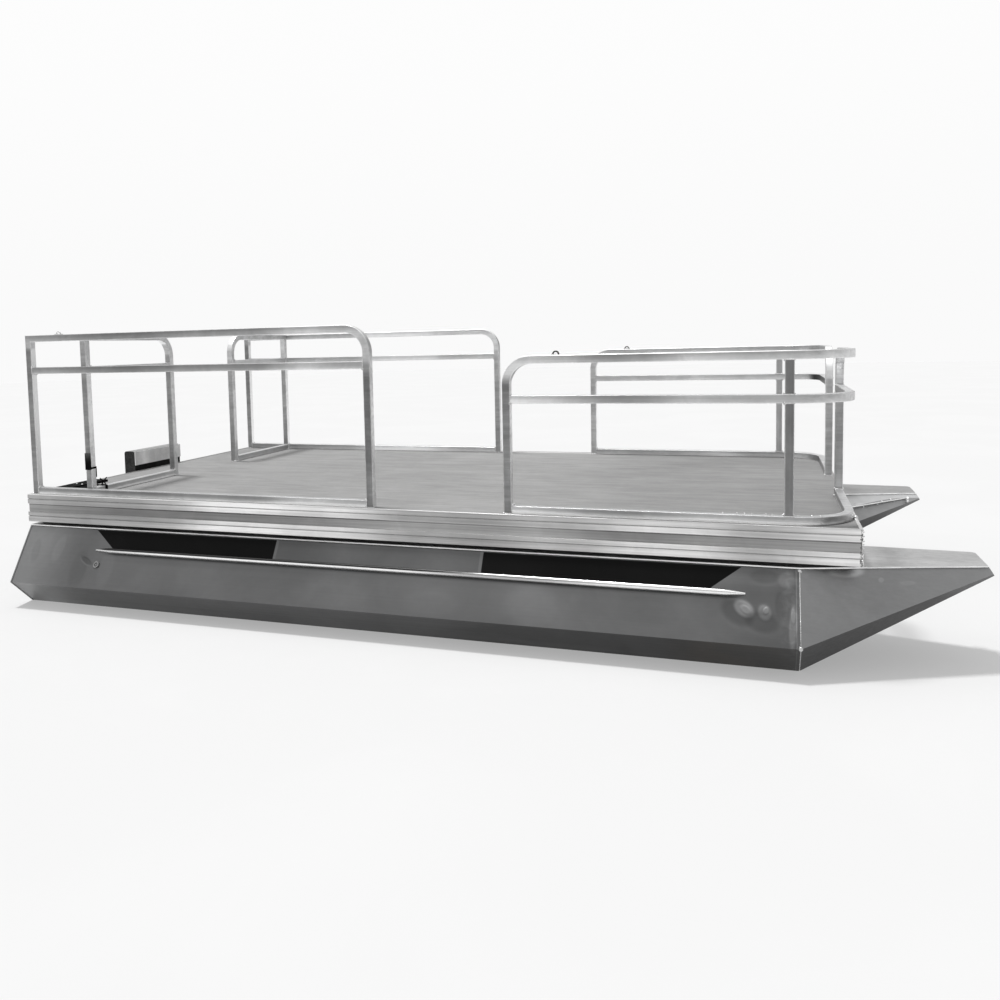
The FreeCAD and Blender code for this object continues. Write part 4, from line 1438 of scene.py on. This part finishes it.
@dataclass
class Tacks:
    """Small lumps of weld and spatter. The spatter is set where a line meets a piece's face."""

    nose: tuple[Triple, ...] = (
        (1.943, 0.341, 0.0046), (1.903, 0.330, 0.0050), (1.880, 0.318, 0.0036), (1.812, 0.306, 0.0040),
        (1.960, 0.333, 0.0034), (1.772, 0.322, 0.0030))
    rail: Pair = (1.17, 1.60)
    rail_y: float = -0.9725
    count: int = 12
    mitre: Pair = (0.396, 0.512)
    corner: Pair = (1.6495, -1.0295)
    blob: Colour = (1.6435, -0.815, 0.5205, 0.0085)
    feet: tuple[Triple, ...] = (
        (-0.236, -1.000, 0.550), (0.398, -1.000, 0.550), (-1.671, -0.322, 0.520), (-1.671, -0.954, 0.550),
        (1.607, -0.322, 0.520), (-1.962, -1.000, 0.550))

    def build(self, finish: Material) -> None:
        """Make them.

        Args:
            finish: the weld metal.
        """
        chance = random.Random(11)
        work = bmesh.new()
        for x, z, size in self.nose:
            self.drop(work, "port_pontoon_nose", Vector((x, 0.0, z)), Vector((0, 1, 0)), size)
        for number in range(self.count):
            share = (number + chance.uniform(0.1, 0.9)) / self.count
            x = self.rail[0] + (self.rail[1] - self.rail[0]) * share
            self.drop(work, "starboard_bow_base_rail", Vector((x, self.rail_y, 1.0)), Vector((0, 0, -1)),
                      chance.uniform(0.0026, 0.0044))
        put("spatter", work, finish)
        work = bmesh.new()
        level = self.mitre[0]
        while level < self.mitre[1]:
            lump(work, Vector((*self.corner, level)), chance.uniform(0.0022, 0.0036))
            level += chance.uniform(0.010, 0.017)
        lump(work, Vector(self.blob[:3]), self.blob[3])
        for foot in self.feet:
            lump(work, Vector(foot), chance.uniform(0.0050, 0.0066))
        put("corner_welds", work, finish)

    def drop(self, work: BMesh, node: str, start: Vector, way: Vector, size: float) -> None:
        """Set one lump on a face.

        Args:
            work: the mesh that takes it.
            node: the piece.
            start: where the line starts.
            way: which way it runs.
            size: the lump's radius.
        """
        met, place, _, _ = bpy.data.objects[node].ray_cast(start, way)
        if met:
            lump(work, place, size)


@dataclass
class StepFlap:
    """The rubber flap along the step pad's inner edge, ribbed across, and the pad's screws."""

    low: Triple = (-1.9045, -0.930, 0.5162)
    high: Triple = (-1.8560, -0.700, 0.5215)
    ribs: int = 9
    screws: Stops = ((-1.965, -0.742), (-1.923, -0.752), (-1.930, -0.640))
    rounding: float = 0.0012
    screw_z: float = 0.5272
    screw: float = 0.0052

    def build(self, rubber: Material, metal: Material) -> None:
        """Make the flap and the screws.

        Args:
            rubber: the flap's finish.
            metal: the screws' finish.
        """
        work = bmesh.new()
        low, high = Vector(self.low), Vector(self.high)
        size, middle = high - low, (high + low) / 2
        bmesh.ops.create_cube(work, size=1.0,
                              matrix=Matrix.Translation(middle) @ Matrix.Diagonal((*size, 1.0)))
        bmesh.ops.bevel(work, geom=work.edges[:], offset=self.rounding, offset_type="OFFSET", segments=2,
                        profile=0.5, affect="EDGES", material=-1)
        strand = Bead(radius=0.0016, pitch=0.012, waist=0.95)
        for number in range(self.ribs):
            y = low.y + size.y * (number + 0.5) / self.ribs
            strand.run(work, Vector((low.x + 0.004, y, high.z)), Vector((high.x - 0.004, y, high.z)))
        put("stern_step_flap", work, rubber)
        work = bmesh.new()
        for x, y in self.screws:
            lump(work, Vector((x, y, self.screw_z)), self.screw, (1.0, 1.0, 0.5))
        put("step_pad_screws", work, metal)


@dataclass
class RubberTie:
    """The black tie on the stern base rail: two turns round the tube, a knot and four short ends."""

    x: float = -1.687
    y: float = -0.872
    rail_top: float = 0.548
    tube: float = 0.03175
    thick: float = 0.0032
    reach: float = 0.020
    knot: float = 0.0072

    def build(self, finish: Material) -> None:
        """Make the tie.

        Args:
            finish: the rubber.
        """
        work = bmesh.new()
        half = self.tube / 2 + self.thick / 2
        strand = Bead(radius=self.thick, pitch=0.009, waist=0.92, sides=8)
        middle = Vector((self.x, self.y, self.rail_top - self.tube / 2))
        for shift in (-0.004, 0.004):
            strand.collar(work, middle + Vector((0, shift, 0)), Axis.Y, half)
        knot = Vector((self.x, self.y, self.rail_top + self.reach))
        for across, lean in ((-1, 1), (1, 1), (-1, -1), (1, -1)):
            end = knot + Vector((0.004 * across * lean, across * self.reach, lean * self.reach * 0.85))
            strand.run(work, knot, end)
        lump(work, knot, self.knot, (0.8, 1.2, 0.9))
        put("stern_rail_tie", work, finish)


# ---- stage ------------------------------------------------------------------
@dataclass
class Stage:
    """Floor, light and camera."""

    floor_radius: float = 40.0
    floor_gap: float = 0.0005
    sun_way: Triple = (-0.22, 0.03, 1.0)
    floor_tone: float = 0.52
    floor_glow: float = 0.345
    sun_power: float = 2.20
    sun_angle: float = 8.0
    soft_share: float = 0.52
    sky: Stops = ((0.0, 0.30), (0.25, 0.36), (0.5, 0.50), (0.75, 0.80), (1.0, 1.0))
    sky_power: float = 1.25
    backdrop: Pair = (0.955, 0.98)
    camera_offset: Triple = (3.327, -3.411, 0.666)
    yaw: float = 20.253
    pitch: float = -4.336
    roll: float = -1.396
    lens: float = 32.70
    shift: Pair = (0.0729, -0.0851)

    def build(self) -> None:
        """Make the floor, the world, the lights and the camera."""
        self.floor()
        self.world()
        self.lights()
        self.camera()

    def floor(self) -> None:
        """A wide pale disc."""
        work = bmesh.new()
        bmesh.ops.create_circle(work, cap_ends=True, segments=96, radius=self.floor_radius,
                                matrix=Matrix.Translation((0, 0, CAD_BOX[0][2] - self.floor_gap)))
        mesh = bpy.data.meshes.new("floor")
        work.to_mesh(mesh)
        work.free()
        floor = show("floor", mesh)
        coat = Coat("studio_floor", 0.0)
        coat.paint(coat.nodes.fade(coat.clouds(0.8), self.floor_tone - 0.006, self.floor_tone + 0.006))
        for name, value in (("Roughness", 0.9), (SPECULAR, 0.0), ("Emission Color", grey(1.0)),
                            ("Emission Strength", self.floor_glow)):
            coat.set(name, value)
        mesh.materials.append(coat.material)

    def world(self) -> None:
        """Soft light from all round, brighter overhead, on a white backdrop."""
        world = bpy.data.worlds.new("studio")
        bpy.context.scene.world = world
        world.use_nodes = True
        nodes = Nodes(world.node_tree)
        back = world.node_tree.nodes["Background"]
        level = nodes.split(nodes.add("TexCoord").outputs["Generated"])[2]
        rays = nodes.add("LightPath").outputs
        share = nodes.lerp(rays["Is Diffuse Ray"], 1.0, self.soft_share)
        light = nodes.product(nodes.curve(level, self.sky), self.sky_power, share)
        backdrop = nodes.ramp(level, 0.0, 0.35, *self.backdrop)
        nodes.feed(nodes.lerp(rays["Is Camera Ray"], light, backdrop), back.inputs["Color"])
        back.inputs["Strength"].default_value = 1.0

    def lights(self) -> None:
        """One soft sun, nearly overhead, a little aft."""
        lamp = bpy.data.lights.new("sun", "SUN")
        lamp.energy = self.sun_power
        lamp.angle = math.radians(self.sun_angle)
        sun = show("sun", lamp)
        sun.rotation_euler = Vector(self.sun_way).to_track_quat("Z", "Y").to_euler()

    def camera(self) -> None:
        """The camera, placed from the starboard stern corner of the deck."""
        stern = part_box("stern_edge_trim")
        corner = Vector((stern[0][0], stern[0][1], stern[1][2]))
        data = bpy.data.cameras.new("camera")
        data.lens = self.lens
        data.sensor_width = 36.0
        data.shift_x, data.shift_y = self.shift
        data.clip_end = 200.0
        camera = show("camera", data)
        turn = (Matrix.Rotation(math.radians(self.yaw), 4, "Z")
                @ Matrix.Rotation(math.radians(90 + self.pitch), 4, "X")
                @ Matrix.Rotation(math.radians(self.roll), 4, "Z"))
        camera.matrix_world = Matrix.Translation(corner + Vector(self.camera_offset)) @ turn
        bpy.context.scene.camera = camera


# ---- the boat ---------------------------------------------------------------
@dataclass
class Pontoons:
    """Both pontoons and what is fixed to them."""

    plug: Pair = (-1.556, 0.2195)
    spray_line: tuple[Pair, Pair] = ((1.485, 0.262), (2.014, 0.345))

    def dress(self) -> None:
        """Give their CAD nodes a finish."""
        # The top plates' tops and the noses take a painted light of their own on each side.
        side_lit_tones = {Side.STARBOARD: (0.61, 0.26), Side.PORT: (0.455, 0.33)}
        bar = PlateMetal("bright_bar", tone=0.88, top_light=0.95, under_shade=0.45,
                         roughness=(0.2, 0.34)).material()
        plug = PlugMetal("plug_metal", self.plug).material()
        stern = HullSheet("stern_sheet", Side.PORT, banded=False).material()
        for side in Side:
            word = side.word
            top, nose = side_lit_tones[side]
            dress(f"{word}_pontoon", HullSheet(f"{word}_hull_sheet", side).material())
            dress(f"{word}_pontoon_nose",
                  NoseSheet(f"{word}_nose_sheet", side, tone=nose, rail=self.spray_line).material())
            dress(f"{word}_pontoon_transom", stern)
            dress(f"{word}_pontoon_top_plate",
                  PlateMetal(f"{word}_top_plate", tone=0.95, top_light=top, under_shade=0.20, edge_light=0.55,
                             lean=0.35).material())
            dress(f"{word}_air_plug", plug)
            dress(f"{word}_rub_bar", BarMetal(f"{word}_bar_metal").material())
            for part in ("spray_rail", "bow_eye"):
                dress(f"{word}_{part}", bar)


@dataclass
class Deck:
    """The deck, its frame, its edge trims and the motor board."""

    # Painted reflections along the side trims, stern to bow: the ribs' tone and the flat's tone.
    ribs: Stops = (
        (-2.01, 0.88), (-1.70, 0.70), (-1.50, 0.70), (-1.30, 0.76), (-1.10, 1.05), (-0.92, 1.60),
        (-0.70, 1.42), (-0.50, 1.22), (-0.30, 1.22), (-0.10, 0.76), (0.10, 0.66), (0.30, 0.60),
        (0.50, 0.84), (0.70, 0.84), (0.90, 1.22), (1.10, 1.18), (1.30, 0.78), (1.50, 1.06), (1.65, 1.25))
    flats: Stops = (
        (-2.01, 0.64), (-1.70, 0.48), (-1.50, 0.38), (-1.10, 0.39), (-0.70, 0.40), (-0.50, 0.44),
        (-0.30, 0.52), (-0.10, 0.67), (0.10, 0.67), (0.30, 0.62), (0.50, 0.74), (0.70, 0.54), (0.90, 0.47),
        (1.10, 0.57), (1.30, 0.52), (1.50, 0.58), (1.65, 0.61))
    plate_light: Stops = (
        (-0.212, 0.94), (-0.17, 1.0), (-0.13, 1.12), (-0.09, 0.96), (0.0, 0.90), (0.10, 0.96),
        (0.212, 1.10))
    glints: Stops = (
        (-2.01, 0.0), (-1.20, 0.0), (-0.92, 1.0), (-0.70, 0.7), (-0.50, 0.4), (-0.30, 0.6), (-0.10, 0.0),
        (0.70, 0.0), (0.90, 0.7), (1.10, 0.6), (1.30, 0.0), (1.50, 0.2), (1.65, 0.7))

    def dress(self) -> None:
        """Give their CAD nodes a finish."""
        side_trim = EdgeExtrusion("side_trim", Axis.X, stops=self.ribs, flat_light=self.flats,
                                  glints=self.glints).material()
        end_trim = EdgeExtrusion("end_trim", Axis.Y).material()
        # The frame under the deck is painted dark, as shade.
        shaded_frame_metal = PlateMetal("deck_frame_shade", tone=0.22, top_light=0.3, under_shade=0.16).material()
        for side in Side:
            dress(f"{side.word}_edge_trim", side_trim)
            dress(f"{side.word}_deck_risers", shaded_frame_metal)
        for node in ("bow_edge_trim", "stern_edge_trim"):
            dress(node, end_trim)
        dress("cross_members", shaded_frame_metal)
        dress("motor_board_arms", PlateMetal("arm_plate", tone=0.5, top_light=0.6, under_shade=0.3).material())
        dress("flooring", DeckCover("deck_cover").material())
        dress("floor_panel", Plywood("floor_plywood").material())
        dress("motor_board", BoardFinish("motor_board_black", plate_top=0.6255).material())
        dress("motor_face_plate",
              PlateMetal("face_plate", tone=0.80, top_light=0.9, under_shade=0.3, axis=Axis.Y,
                         grain_depth=0.015, sweep=self.plate_light, sweep_axis=Axis.Y).material())


@dataclass
class Rails:
    """The rails, their strap eyes and the rubber at the stern corner."""

    def dress(self) -> None:
        """Give their CAD nodes a finish."""
        welds = RailWelds()
        aft = RailTube("aft_hoop_tube", post_top=welds.aft_top - welds.tube - 0.02,
                       levels=(1.249,)).material()
        bow = RailTube("bow_hoop_tube", post_top=welds.bow_top - welds.tube - 0.02, levels=(1.107,),
                       bend=0.07).material()
        rail = RailTube("rail_tube", levels=(0.516, 0.952, 1.097)).material()
        cross = RailTube("crossing_tube", axis=Axis.Y).material()
        post = RailTube("post_tube", axis=Axis.Z, post_top=3.0).material()
        for side in Side:
            word = side.word
            for part, finish in (("aft_rail_hoop", aft), ("stern_rail_hoop", aft), ("bow_rail_hoop", bow),
                                 ("aft_mid_rail", rail), ("aft_base_rail", rail), ("bow_mid_rail", rail),
                                 ("bow_base_rail", rail), ("stern_mid_rail", cross),
                                 ("stern_base_rail", cross), ("bow_posts", post)):
                dress(f"{word}_{part}", finish)
        dress("strap_eyes", PlateMetal("strap_eye_metal", tone=0.7, top_light=0.9, under_shade=0.4,
                                       roughness=(0.2, 0.35), edge_light=0.0,
                                       sweep=((-2.0, 1.0), (0.0, 1.0), (0.2, 0.10), (1.65, 0.10))).material())

    def build(self) -> None:
        """Make the welds, and dress the rubber."""
        weld = WeldMetal("weld_metal").material()
        rubber = BlackSurface("black_rubber").material()
        RailWelds().build(weld)
        PontoonWelds().build(weld)
        Tacks().build(weld)
        RubberTie().build(rubber)
        StepFlap().build(rubber, weld)
        dress("stern_step_pad", rubber)
        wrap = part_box("corner_post_wrap")
        top, half = wrap[1][2], (wrap[0][2] + wrap[1][2]) / 2
        dress("corner_post_wrap", BlackSurface("wrap_rubber", fade=(half, top)).material())


def main() -> None:
    """Build everything in order."""
    logging.basicConfig(level=logging.INFO, format="%(name)s: %(message)s")
    bpy.context.scene.view_settings.view_transform = "Standard"
    Stage().build()
    Pontoons().dress()
    Deck().dress()
    rails = Rails()
    rails.dress()
    rails.build()


if __name__ == "__main__":
    main()
